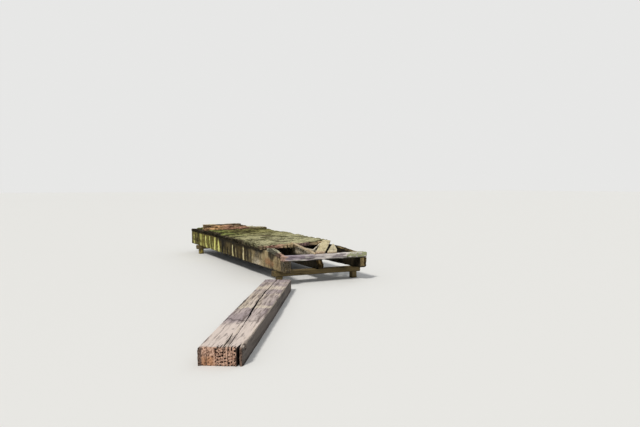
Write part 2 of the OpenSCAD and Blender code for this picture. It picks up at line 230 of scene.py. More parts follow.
def read_points(piece):
    """The piece's points, the directions in which its surface faces there, and how far each
    lies on an arris, from 0 on a flat face to 1 on a sharp edge."""
    mesh = piece.data
    found = np.empty(len(mesh.vertices) * 3)
    mesh.vertices.foreach_get("co", found)
    points = found.reshape(-1, 3).copy()
    mesh.vertices.foreach_get("normal", found)
    facing = found.reshape(-1, 3).copy()
    corners = np.empty(len(mesh.loops), np.int32)
    mesh.loops.foreach_get("vertex_index", corners)
    sizes = np.empty(len(mesh.polygons), np.int32)
    mesh.polygons.foreach_get("loop_total", sizes)
    flat = np.empty(len(mesh.polygons) * 3)
    mesh.polygons.foreach_get("normal", flat)
    total = np.zeros((len(points), 3))
    np.add.at(total, corners, np.repeat(flat.reshape(-1, 3), sizes, axis=0))
    met = np.maximum(np.bincount(corners, minlength=len(points)), 1)
    arris = ramp(0.97, 0.78, np.linalg.norm(total, axis=1) / met)
    return points, facing, arris


def most(*masks):
    """The strongest of several masks at each point."""
    return np.maximum.reduce(masks)


def keep_masks(piece, **masks):
    """Stores values from 0 to 1 at each point, for the materials to read."""
    for name, values in masks.items():
        layer = piece.data.attributes.new(name, "FLOAT", "POINT")
        values = np.broadcast_to(np.clip(values, 0, 1), len(piece.data.vertices))
        layer.data.foreach_set("value", values.astype(np.float32))


def settle(piece, points, along, side, seed, pith=(0.0, 0.0)):
    """Moves the piece's points to their worn places, and stores each one's place along the
    grain, and across it and up from the pith. The noises are moved along by the seed, so that
    no two timbers are alike."""
    piece.data.vertices.foreach_set("co", points.ravel())
    piece.data.update()
    points, facing, _ = read_points(piece)
    along = np.array(along, float)
    side = np.array(side, float)
    place = np.stack([points @ along, points @ side, points @ np.cross(along, side)], 1)
    middle = (place.min(0) + place.max(0)) / 2
    place -= [0, middle[1] + pith[0], middle[2] + pith[1]]
    place[:, 0] += seed * 7.31
    layer = piece.data.attributes.new("grain", "FLOAT_VECTOR", "POINT")
    layer.data.foreach_set("vector", place.astype(np.float32).ravel())
    keep_masks(piece, sawn=ramp(0.55, 0.85, np.abs(facing @ along)))


def dress(piece, material, node=None):
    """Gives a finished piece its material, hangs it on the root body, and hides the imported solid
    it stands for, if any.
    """
    piece.data.materials.append(material)
    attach(piece, "root")
    if node:
        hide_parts(node)


def new_group(name, inputs, outputs):
    """Starts a node group, with each input given as name: (kind, value) and each output as
    name: kind. The nodes made next go into it. Gives what comes in and what goes out."""
    global tree, place
    tree = bpy.data.node_groups.new(name, "ShaderNodeTree")
    for title, (kind, value) in inputs.items():
        socket = tree.interface.new_socket(title, in_out="INPUT", socket_type="NodeSocket" + kind)
        socket.default_value = value
    for title, kind in outputs.items():
        tree.interface.new_socket(title, in_out="OUTPUT", socket_type="NodeSocket" + kind)
    given, results = tree.nodes.new("NodeGroupInput"), tree.nodes.new("NodeGroupOutput")
    place = mask("grain", "Vector")
    return given.outputs, results.inputs


def set_socket(socket, value):
    if isinstance(value, bpy.types.NodeSocket):
        tree.links.new(value, socket)
    elif isinstance(value, tuple):
        socket.default_value = (*value, 1)
    else:
        socket.default_value = value


def math_node(operation, *values):
    node = tree.nodes.new("ShaderNodeMath")
    node.operation = operation
    for i, value in enumerate(values):
        set_socket(node.inputs[i], value)
    return node.outputs[0]


def plus(first, second):
    return math_node("ADD", first, second)


def minus(first, second):
    return math_node("SUBTRACT", first, second)


def rest_of(share):
    return math_node("SUBTRACT", 1.0, share)


def times(first, second):
    return math_node("MULTIPLY", first, second)


def times_plus(first, second, third):
    return math_node("MULTIPLY_ADD", first, second, third)


def spread(value, low, high):
    """The share from 0 to 1 of a value between two limits, with a soft start and end."""
    node = tree.nodes.new("ShaderNodeMapRange")
    node.interpolation_type = "SMOOTHSTEP"
    tree.links.new(value, node.inputs["Value"])
    node.inputs["From Min"].default_value = low
    node.inputs["From Max"].default_value = high
    return node.outputs["Result"]


def mixed(share, first, second):
    """A colour between two, by a share from 0 to 1."""
    node = tree.nodes.new("ShaderNodeMix")
    node.data_type = "RGBA"
    for i, value in ((0, share), (6, first), (7, second)):
        set_socket(node.inputs[i], value)
    return node.outputs[2]


def noise(stretch, detail=4, roughness=0.6, distortion=0.0, at=None):
    """A noise with this many cells to the metre along the grain, across it and up."""
    shaped = tree.nodes.new("ShaderNodeVectorMath")
    shaped.operation = "MULTIPLY"
    tree.links.new(at or place, shaped.inputs[0])
    shaped.inputs[1].default_value = stretch
    node = tree.nodes.new("ShaderNodeTexNoise")
    tree.links.new(shaped.outputs[0], node.inputs["Vector"])
    settings = {"Scale": 1.0, "Detail": detail, "Roughness": roughness, "Distortion": distortion}
    for name, value in settings.items():
        node.inputs[name].default_value = value
    return node.outputs["Fac"]


def mask(name, output="Fac"):
    node = tree.nodes.new("ShaderNodeAttribute")
    node.attribute_name = name
    return node.outputs[output]


def wood_grain_group():
    given, results = new_group(
        "weathered grain",
        {"Fibres": ("Float", 1.0), "Checks": ("Float", 0.5)},
        {"Tone": "Float", "Check": "Float", "Height": "Float"},
    )
    sawn = mask("sawn")
    fibres = noise((3.0, 130, 130), 6, 0.7)
    bands = noise((0.55, 26, 26), 4, 0.55, 0.2)
    patches = noise((1.6, 4.5, 4.5), 3, 0.55)
    tone = times_plus(fibres, 0.46, times(bands, 0.54))
    tone = times_plus(patches, 0.38, times(tone, 0.8))
    lines = noise((0.4, 30, 30), 1.5, 0.4)
    thin = math_node("ABSOLUTE", minus(lines, 0.5))
    here = spread(noise((0.9, 7, 7), 2, 0.5), 0.5, 0.66)
    check = rest_of(spread(thin, 0.003, 0.017))
    check = times(check, here)
    # The sawn ends
    parts = tree.nodes.new("ShaderNodeSeparateXYZ")
    tree.links.new(place, parts.inputs[0])
    across, up = parts.outputs[1], parts.outputs[2]
    out = math_node("SQRT", times_plus(across, across, times(up, up)))
    sway = noise((1, 7, 7), 2, 0.5)
    ring_at = times_plus(out, 780.0, times(sway, 13.0))
    rings = times_plus(math_node("SINE", ring_at), 0.24, 0.5)
    pores = noise((5, 170, 170), 4, 0.7)
    end_tone = times_plus(pores, 0.5, times(rings, 0.5))
    turn = math_node("ARCTAN2", up, across)
    round_about = tree.nodes.new("ShaderNodeCombineXYZ")
    tree.links.new(times(turn, 2.4), round_about.inputs[0])
    tree.links.new(times(out, 3.0), round_about.inputs[1])
    tree.links.new(parts.outputs[0], round_about.inputs[2])
    rays = noise((1, 1, 1), 2, 0.6, at=round_about.outputs[0])
    ray = rest_of(spread(math_node("ABSOLUTE", minus(rays, 0.6)), 0.003, 0.016))
    ray = times(ray, spread(pores, 0.36, 0.56))

    def by_end(on_side, on_end):
        rest = times(on_side, rest_of(sawn))
        return times_plus(on_end, sawn, rest)

    tone = by_end(tone, end_tone)
    check = times(by_end(check, ray), given["Checks"])
    height = times(by_end(fibres, pores), given["Fibres"])
    height = times_plus(by_end(bands, rings), 0.7, height)
    height = minus(height, times(check, 1.6))
    tree.links.new(tone, results["Tone"])
    tree.links.new(check, results["Check"])
    tree.links.new(height, results["Height"])
    return tree


weathered_grain = wood_grain_group()


def group_node(group, **values):
    """Puts a node group in, with its inputs by name, and gives what comes out of it."""
    node = tree.nodes.new("ShaderNodeGroup")
    node.node_tree = group
    for name, value in values.items():
        set_socket(node.inputs[name], value)
    return node.outputs


def new_finish(name, roughness, sheen, fibres, checks, tones=(0.36, 0.64)):
    """Starts a material of weathered wood: the strength of its fibres and checks, and the grain
    tones at which it is darkest and palest. The nodes made next go into it."""
    global tree, place, shader, grain, tone
    material = bpy.data.materials.new(name)
    material.use_nodes = True
    tree = material.node_tree
    shader = tree.nodes["Principled BSDF"]
    shader.inputs["Specular IOR Level"].default_value = sheen
    place = mask("grain", "Vector")
    rough = times_plus(noise((5, 30, 30), 3, 0.6), 0.3, roughness - 0.15)
    tree.links.new(rough, shader.inputs["Roughness"])
    grain = group_node(weathered_grain, Fibres=fibres, Checks=checks)
    tone = spread(grain["Tone"], *tones)
    return material


def finish(colour, height, distance, strength):
    """Gives the material's shader its colour, and its relief from a height."""
    bump = tree.nodes.new("ShaderNodeBump")
    bump.inputs["Distance"].default_value = distance
    bump.inputs["Strength"].default_value = strength
    tree.links.new(height, bump.inputs["Height"])
    tree.links.new(bump.outputs["Normal"], shader.inputs["Normal"])
    tree.links.new(colour, shader.inputs["Base Color"])


girder_wood = new_finish("girder wood", 0.85, 0.12, 1.0, 0.8, (0.36, 0.66))
body = mixed(tone, (0.013, 0.008, 0.002), (0.095, 0.062, 0.014))
film = times(mask("film"), spread(noise((11, 11, 3.5), 4, 0.6), 0.36, 0.6))
body = mixed(film, body, mixed(tone, (0.06, 0.056, 0.01), (0.3, 0.285, 0.062)))
drips = noise((26, 26, 3.0), 5, 0.62)
stains = noise((4.5, 4.5, 2.2), 4, 0.6)
drip_share = times_plus(drips, 0.6, times(stains, 0.6))
body = mixed(times(spread(drip_share, 0.605, 0.485), 0.93), body, (0.011, 0.008, 0.003))
olive = times(spread(drip_share, 0.59, 0.66), mask("mottled"))
body = mixed(olive, body, (0.345, 0.262, 0.125))
bare_share = times(mask("bare"), spread(drip_share, 0.48, 0.62))
bare = mixed(bare_share, body, mixed(tone, (0.08, 0.03, 0.009), (0.27, 0.118, 0.036)))
streak_break = noise((42, 42, 6), 5, 0.68)
streak_spots = noise((70, 70, 45), 3, 0.6)
streak_patches = noise((13, 13, 5.5), 3, 0.6)
streak_share = times_plus(streak_break, 0.8, times_plus(streak_spots, 0.4, -1.1))
streak_share = times_plus(streak_patches, 1.0, streak_share)
streak_share = plus(mask("lichen"), streak_share)
lichen = mixed(mask("beige"), (0.56, 0.545, 0.12), (0.7, 0.59, 0.32))
whiter = mixed(mask("beige"), (0.76, 0.74, 0.32), (0.84, 0.76, 0.55))
lichen = mixed(spread(streak_spots, 0.42, 0.66), lichen, whiter)
colour = mixed(spread(streak_share, 0.22, 0.86), bare, lichen)
white_share = times(spread(streak_spots, 0.38, 0.56), mask("whitish"))
colour = mixed(white_share, colour, (0.6, 0.525, 0.41))
colour = mixed(grain["Check"], colour, (0.01, 0.008, 0.004))
# Darkened by damp and rot, and by painted shade on the inner faces, the undersides and below the
# deck boards
colour = mixed(mask("damp"), colour, (0.01, 0.008, 0.0045))
relief = times_plus(streak_break, 1.2, grain["Height"])
finish(colour, relief, 0.008, 0.8)

# The streaks on the left girder's face: the place from its near end, the width, the strength,
# how high the streak begins, and how far it leans towards the near end on its way down
streaks = [
    (-6.3, 0.11, 0.62, 0.8, 0.02), (-6.02, 0.05, 0.45, 0.95, 0.03), (-5.62, 0.15, 0.6, 0.98, 0.02),
    (-5.36, 0.055, 0.5, 0.85, 0.02), (-5.2, 0.085, 0.86, 0.92, 0.11),
    (-4.98, 0.035, 0.46, 0.6, 0.04), (-4.82, 0.06, 0.82, 0.98, 0.09),
    (-4.6, 0.045, 0.52, 0.7, 0.05), (-4.34, 0.085, 0.95, 1.0, -0.03), (-4.2, 0.04, 0.5, 0.5, 0.0),
    (-4.07, 0.078, 0.95, 1.0, 0.05), (-3.86, 0.04, 0.46, 0.75, 0.02), (-3.63, 0.05, 0.52, 0.5, 0.0),
    (-3.44, 0.034, 0.34, 0.7, 0.01), (-3.25, 0.044, 0.36, 0.55, 0.01),
    (-2.965, 0.055, 1.0, 0.82, 0.0), (-2.75, 0.045, 0.55, 0.66, 0.0),
    (-2.5, 0.034, 0.34, 0.5, 0.01), (-2.245, 0.046, 1.0, 1.0, 0.02), (-2.03, 0.04, 0.56, 0.7, 0.0),
    (-1.87, 0.028, 0.4, 0.6, 0.02), (-1.71, 0.036, 0.58, 0.6, 0.04),
    (-1.52, 0.034, 0.48, 0.45, 0.02), (-1.34, 0.036, 0.42, 0.5, 0.01),
    (-1.16, 0.028, 0.38, 0.62, 0.0), (-1.01, 0.026, 0.34, 0.55, 0.0),
]


def down_streak(start, cells, seed, shift=0):
    """Random values that change only down the face, and are others for each streak."""
    return drift(points * [0.001, 0.001, cells] + [start, shift, 0], seed)


along, side = (1, 0, 0), (0, 1, 0)
for number, (node, cells) in enumerate(
    (("girder_left", (0.018, 0.013, 0.0105)), ("girder_middle", (0.026, 0.013, 0.013)),
     ("girder_right", (0.028, 0.014, 0.014)))
):
    piece, points, facing, arris = fine_mesh(node, "timber", along, side, cells)
    seed = 11 + 5 * number
    left, central, right = (number == which for which in range(3))
    low, high = (np.array(corner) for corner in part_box(node))
    from_end = points[:, 0] - girder_end
    height = (points[:, 2] - low[2]) / (high[2] - low[2])
    # Upright furrows on the sides, and long soft waves along the timber
    furrows = drift(points * [16, 4, 3.2], seed) * 0.0035
    furrows += drift(points * [38, 8, 6], seed + 1) * 0.0025
    waves = drifts(points, ((1.1, 4, 7), seed + 2, 0.005), ((3, 30, 34), seed + 7, 0.002))
    on_side = np.abs(facing[:, 1])
    # Rot deepens towards the near end, most along the lower edge
    rot = ramp(-1.5, 0.05, from_end) * (0.35 + 0.65 * ramp(0.9, 0.0, height))
    crumbs = drifts(points, ((15, 15, 12), seed + 3, 0.6), ((37, 37, 30), seed + 4, 0.4))
    eaten = bits(points * [5, 5, 2], seed + 5, 0.3) * ramp(0.16, 0.0, height)
    chips = bits(points * [9, 9, 9], seed + 6, 0.25)
    push = furrows * on_side + waves - 0.003 - rot * (0.01 - 0.014 * crumbs)
    push -= 0.01 * eaten + arris * (0.0025 + 0.01 * chips)
    seat = ramp(0.7, 0.95, facing[:, 2]) * ramp(0.0, -1.5, from_end)
    points += facing * (np.minimum(push, 0.003) * (1 - seat))[:, None]
    settle(piece, points, along, side, number, (0.02, -0.07))
    lichen_mask = np.zeros(len(points))
    # Painted shade: the faces that look in under the deck, between the girders, are painted near
    # black
    shaded_inner = ramp(0.3, 0.8, (facing[:, 1], on_side, -facing[:, 1])[number])
    if left:
        for start, wide, strength, top, lean in streaks:
            middle = start + lean * (1 - height) + 0.02 * down_streak(start, 9, 71)
            width = 0.72 + 0.42 * (1 - height) + 0.35 * down_streak(start, 14, 72)
            streak = np.exp(-np.abs((from_end - middle) / (wide * width)) ** 1.6)
            begins = ramp(top + 0.1, top - 0.1, height) if top < 0.95 else 1.0
            thins = 1 - 0.45 * np.clip(down_streak(start, 11, 73, 5), 0, 1)
            lichen_mask = np.maximum(lichen_mask, strength * streak * begins * thins)
        lichen_mask *= ramp(0.2, 0.9, -facing[:, 1])
    keep_masks(
        piece, lichen=lichen_mask,
        beige=ramp(-3.9, -3.1, from_end) * (0.8 + 0.3 * drift(points * [3, 3, 5], 74)),
    )
    film = 0.75 + 0.5 * drift(points * [2.5, 2.5, 2.5], 77)
    film *= 0.7 * ramp(-3.7, -4.6, from_end) + 0.04
    outer = left * ramp(0.2, 0.9, -facing[:, 1]) + right * 0.8 * ramp(0.2, 0.9, facing[:, 1])
    keep_masks(piece, film=film * outer)
    washed = np.exp(-(((from_end + 1.42) / 0.2) ** 2)) * ramp(0.5, 0.2, height)
    # The middle girder's upper near part is painted pale: partly its weathered top, partly painted
    # sunlight
    beige_top = central * ramp(-1.5, -1.2, from_end) * ramp(0.45, 0.75, height)
    near_part = ramp(-2.2, -1.5, from_end)
    keep_masks(
        piece,
        whitish=left * (0.9 * washed + 0.2 * near_part) + 0.9 * beige_top,
        mottled=0.12 + 0.78 * ramp(-2.5, -1.1, from_end) + 0.4 * drift(points * 2.5, seed + 6),
    )
    patch = np.hypot((from_end + 0.735) / 0.24, (points[:, 2] - 0.355) / 0.092)
    patch = patch + 0.45 * drift(points * [8, 8, 12], 75) + 0.25 * drift(points * [24, 24, 30], 78)
    bare_mask = left * 0.85 * ramp(1.3, 0.45, patch)
    end_rot = ramp(-0.75, -0.2, from_end) * (0.35 + 0.5 * crumbs)
    keep_masks(piece, bare=np.maximum(bare_mask, end_rot * (0.55 if central else 0.25)))
    # Painted shade: a dark band on the faces just below the deck boards, in the shadow of their
    # overhang
    shadow_line = points[:, 2] - 0.022 * drift(points * [5, 5, 5], 76)
    shade_below_boards = ramp(high[2] - 0.11, high[2] - 0.02, shadow_line)
    shade_below_boards *= ramp(-0.9, -1.15, from_end) * ramp(-4.5, -4.0, from_end)
    between = 0.62 * ramp(-4.1, -3.7, from_end) * ramp(-1.2, -2.2, from_end)
    between += 0.16 * ramp(-1.5, -2.2, from_end)
    between = between * (1 - lichen_mask) * (1 + 0.5 * drift(points * [7, 7, 2.5], 80))
    from_strip = np.hypot((from_end + 0.66) / 0.24, (points[:, 2] - 0.53) / 0.11)
    from_strip = from_strip + 0.4 * drift(points * [9, 9, 9], 81)
    behind_strip = left * 0.85 * ramp(1.2, 0.5, from_strip)
    # Painted shade on the faces that look down
    shade_under = ramp(0.3, 0.9, -facing[:, 2])
    # The dark mask: painted shade below the boards and underneath, and darker between the middle
    # streaks, behind the rotten strip, along the bottom and where rotten
    dark = most(
        between, behind_strip, 0.9 * shade_below_boards, 0.85 * shade_under, 0.85 * ramp(0.07, 0.0, height),
        0.35 * rot
    )
    # Where light falls on the middle girder's upper near part, the painted shade is left off
    sunlit_part = ramp(0.5, 0.75, height + 0.1 * drift(points * [7, 7, 7], 79))
    sunlit_part *= central * ramp(-1.5, -1.2, from_end)
    keep_masks(piece, damp=np.maximum(dark * (1 - 0.8 * sunlit_part), 0.95 * shaded_inner * (1 - sunlit_part)))
    dress(piece, girder_wood, node)


# The supports
# A beam across the girders at each end of the span, and two squared posts under each.
# They are dark and damp, with painted shade under the beams, and the far left post has yellow
# lichen down its face.

support_wood = new_finish("support wood", 0.85, 0.25, 1.1, 1.0, (0.36, 0.66))
colour = mixed(tone, (0.03, 0.022, 0.009), (0.17, 0.125, 0.055))
blotch = noise((6, 22, 22), 5, 0.65, 0.1)
blotch = plus(blotch, times_plus(mask("lichen"), 0.6, -0.6))
colour = mixed(spread(blotch, 0.42, 0.62), colour, (0.36, 0.29, 0.05))
colour = mixed(grain["Check"], colour, (0.012, 0.009, 0.005))
# Darkened by damp, and by painted shade on the undersides of the beams
colour = mixed(mask("damp"), colour, (0.012, 0.009, 0.005))
finish(colour, grain["Height"], 0.007, 0.9)

for number, node in enumerate(("far_cap_beam", "near_cap_beam")):
    along, side = (0, 1, 0), (1, 0, 0)
    piece, points, facing, arris = fine_mesh(node, "timber", along, side, (0.014, 0.01, 0.009))
    furrows = drifts(points, ((36, 2.2, 36), 31 + number, 0.004), ((14, 4, 14), 33 + number, 0.005))
    chips = bits(points * [10, 8, 10], 35 + number, 0.2)
    resting = ramp(0.9, 0.6, np.abs(facing[:, 2]))
    points += facing * ((furrows - 0.004) * resting - arris * (0.003 + 0.01 * chips))[:, None]
    settle(piece, points, along, side, 5 + number, (0.015, 0.01))
    keep_masks(
        piece,
        lichen=0.25 + 0.5 * ramp(girder_face + 0.25, girder_face - 0.05, points[:, 1]),
        # Painted shade on the undersides
        damp=0.55 * ramp(0.2, 0.8, -facing[:, 2]),
    )
    dress(piece, support_wood, node)

post_nodes = ("far_post_left", "far_post_right", "near_post_left", "near_post_right")
for number, node in enumerate(post_nodes):
    along, side = (0, 0, 1), (1, 0, 0)
    piece, points, facing, arris = fine_mesh(node, "timber", along, side, (0.01, 0.008, 0.008))
    upright = ramp(0.8, 0.3, np.abs(facing[:, 2]))
    furrows = drifts(points, ((30, 30, 2.5), 41 + number, 0.005), ((70, 70, 7), 45 + number, 0.002))
    chips = bits(points * [11, 11, 9], 49 + number, 0.2)
    push = upright * (furrows - 0.003 - arris * (0.003 + 0.009 * chips))
    points += facing * push[:, None]
    settle(piece, points, along, side, 9 + number, (0.01, 0.012))
    keep_masks(
        piece,
        lichen=0.98 if number == 0 else 0.4,
        damp=0.5 * ramp(0.05, 0.0, points[:, 2]),
    )
    dress(piece, support_wood, node)


# The deck boards
# Thick rough boards laid across the girders under a grey-green crust of moss and lichen. Their
# left ends are rotten and dark over the first half of the span, partly with painted shade, and
# thickly crusted after it. Shade is also painted under the boards, in the gaps between them and
# under the crusted lip.


def crust_group():
    """Moss and lichen: cushions of a few centimetres, pale flecks and dark hollows."""
    given, results = new_group(
        "moss and lichen",
        {
            "Amount": ("Float", 1.0),
            "Moss": ("Color", (0.16, 0.17, 0.06, 1)),
            "Lichen": ("Color", (0.4, 0.41, 0.25, 1)),
            "Hollow": ("Color", (0.05, 0.045, 0.02, 1)),
            "Under": ("Color", (0.2, 0.15, 0.1, 1)),
        },
        {"Color": "Color", "Share": "Float", "Height": "Float"},
    )
    cushion = mask("cushion")
    clumps = noise((6, 13, 13), 5, 0.65, 0.2)
    flecks = noise((22, 40, 40), 4, 0.7, 0.1)
    tufts = noise((110, 120, 120), 3, 0.6)
    shade = mask("shade")
    stripes = noise((1.7, 10, 10), 4, 0.6)
    # The joints and the creases between the cushions take the dark hollow colour: dark joints, and
    # painted shade in the creases
    relief = times_plus(cushion, 0.55, times(clumps, 0.6))
    colour = mixed(spread(relief, 0.28, 0.52), given["Hollow"], given["Moss"])
    pale_share = times_plus(flecks, 0.8, times_plus(shade, 0.26, 0.045))
    pale_share = times_plus(cushion, 0.14, pale_share)
    colour = mixed(spread(pale_share, 0.53, 0.72), colour, given["Lichen"])
    for value, pale_at, dark_at, most_dull in (
        (shade, 0.54, 0.04, 0.66), (stripes, 0.505, 0.375, 0.74), (clumps, 0.46, 0.33, 0.66)
    ):
        dull = times(spread(value, pale_at, dark_at), most_dull)
        colour = mixed(dull, colour, given["Hollow"])
    speck = rest_of(spread(tufts, 0.32, 0.47))
    colour = mixed(times(speck, 0.64), colour, given["Hollow"])
    edge = times_plus(clumps, 0.7, times(flecks, 0.5))
    edge = plus(edge, given["Amount"])
    share = spread(edge, 0.9, 1.14)
    colour = mixed(share, given["Under"], colour)
    height = times_plus(tufts, 0.45, times(flecks, 0.9))
    height = plus(height, clumps)
    tree.links.new(colour, results["Color"])
    tree.links.new(share, results["Share"])
    tree.links.new(height, results["Height"])
    return tree


moss_and_lichen = crust_group()

deck_wood = new_finish("deck wood and crust", 0.95, 0.12, 1.1, 0.9)
wood = mixed(tone, (0.026, 0.02, 0.012), (0.23, 0.185, 0.115))
beige_torn = mixed(tone, (0.105, 0.07, 0.032), (0.57, 0.445, 0.265))
red_torn = mixed(tone, (0.06, 0.022, 0.016), (0.66, 0.395, 0.3))
purple_torn = mixed(tone, (0.036, 0.02, 0.02), (0.29, 0.184, 0.174))
torn = mixed(mask("reddish"), beige_torn, red_torn)
torn = mixed(mask("purple"), torn, purple_torn)
wood = mixed(mask("torn"), wood, torn)
wood = mixed(grain["Check"], wood, (0.014, 0.009, 0.006))
near_share = mask("pale")
moss = mixed(near_share, (0.105, 0.093, 0.026), (0.255, 0.24, 0.112))
moss = mixed(mask("green"), moss, (0.115, 0.15, 0.03))
pale_lichen = mixed(near_share, (0.31, 0.29, 0.1), (0.58, 0.55, 0.33))
pale_lichen = mixed(mask("green"), pale_lichen, (0.28, 0.33, 0.09))
crust = group_node(
    moss_and_lichen, Amount=mask("moss"), Moss=moss, Lichen=pale_lichen,
    Hollow=(0.028, 0.023, 0.008), Under=wood
)
# Darkened by damp and rot, and by painted shade under and between the boards and under the lip
colour = mixed(mask("damp"), crust["Color"], (0.012, 0.01, 0.005))
relief = times_plus(times(crust["Height"], crust["Share"]), 1.4, grain["Height"])
finish(colour, relief, 0.012, 0.9)

deck_nodes = [f"deck_board_{i:02d}" for i in range(1, 22)]
deck_nodes += ["broken_board_long", "broken_board_short"]
deck_low = min(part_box(node)[0].z for node in deck_nodes)
deck_high = max(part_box(node)[1].z for node in deck_nodes)
sleeper_low, sleeper_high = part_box("far_sleeper")
# The broken edge runs from here on the left side to here on the right one, from the near ends
break_left, break_right, across = -1.07, -1.52, 1.75


def behind_break(x, y):
    """How far a place lies behind the line of the broken edge, towards the far end."""
    run = break_left - break_right
    return ((break_left - x) * across - y * run) / math.hypot(across, run)


# The fallen board lies across the broken edge, and the crust stops where it and the lath rest
fallen_turn, lath_turn = math.radians(31.5), math.radians(4)
fallen_foot = on_site(-0.1008, 0.6825)
lath_foot = fallen_foot + Vector((0.045, -0.039, 0))


def fallen_place(x, y, foot=fallen_foot, turn=fallen_turn):
    """How far a place lies along the fallen board from its foot, and across it."""
    x, y = x - foot.x, y - foot.y
    run = -math.cos(turn) * x + math.sin(turn) * y
    over = math.sin(turn) * x + math.cos(turn) * y
    return run, over


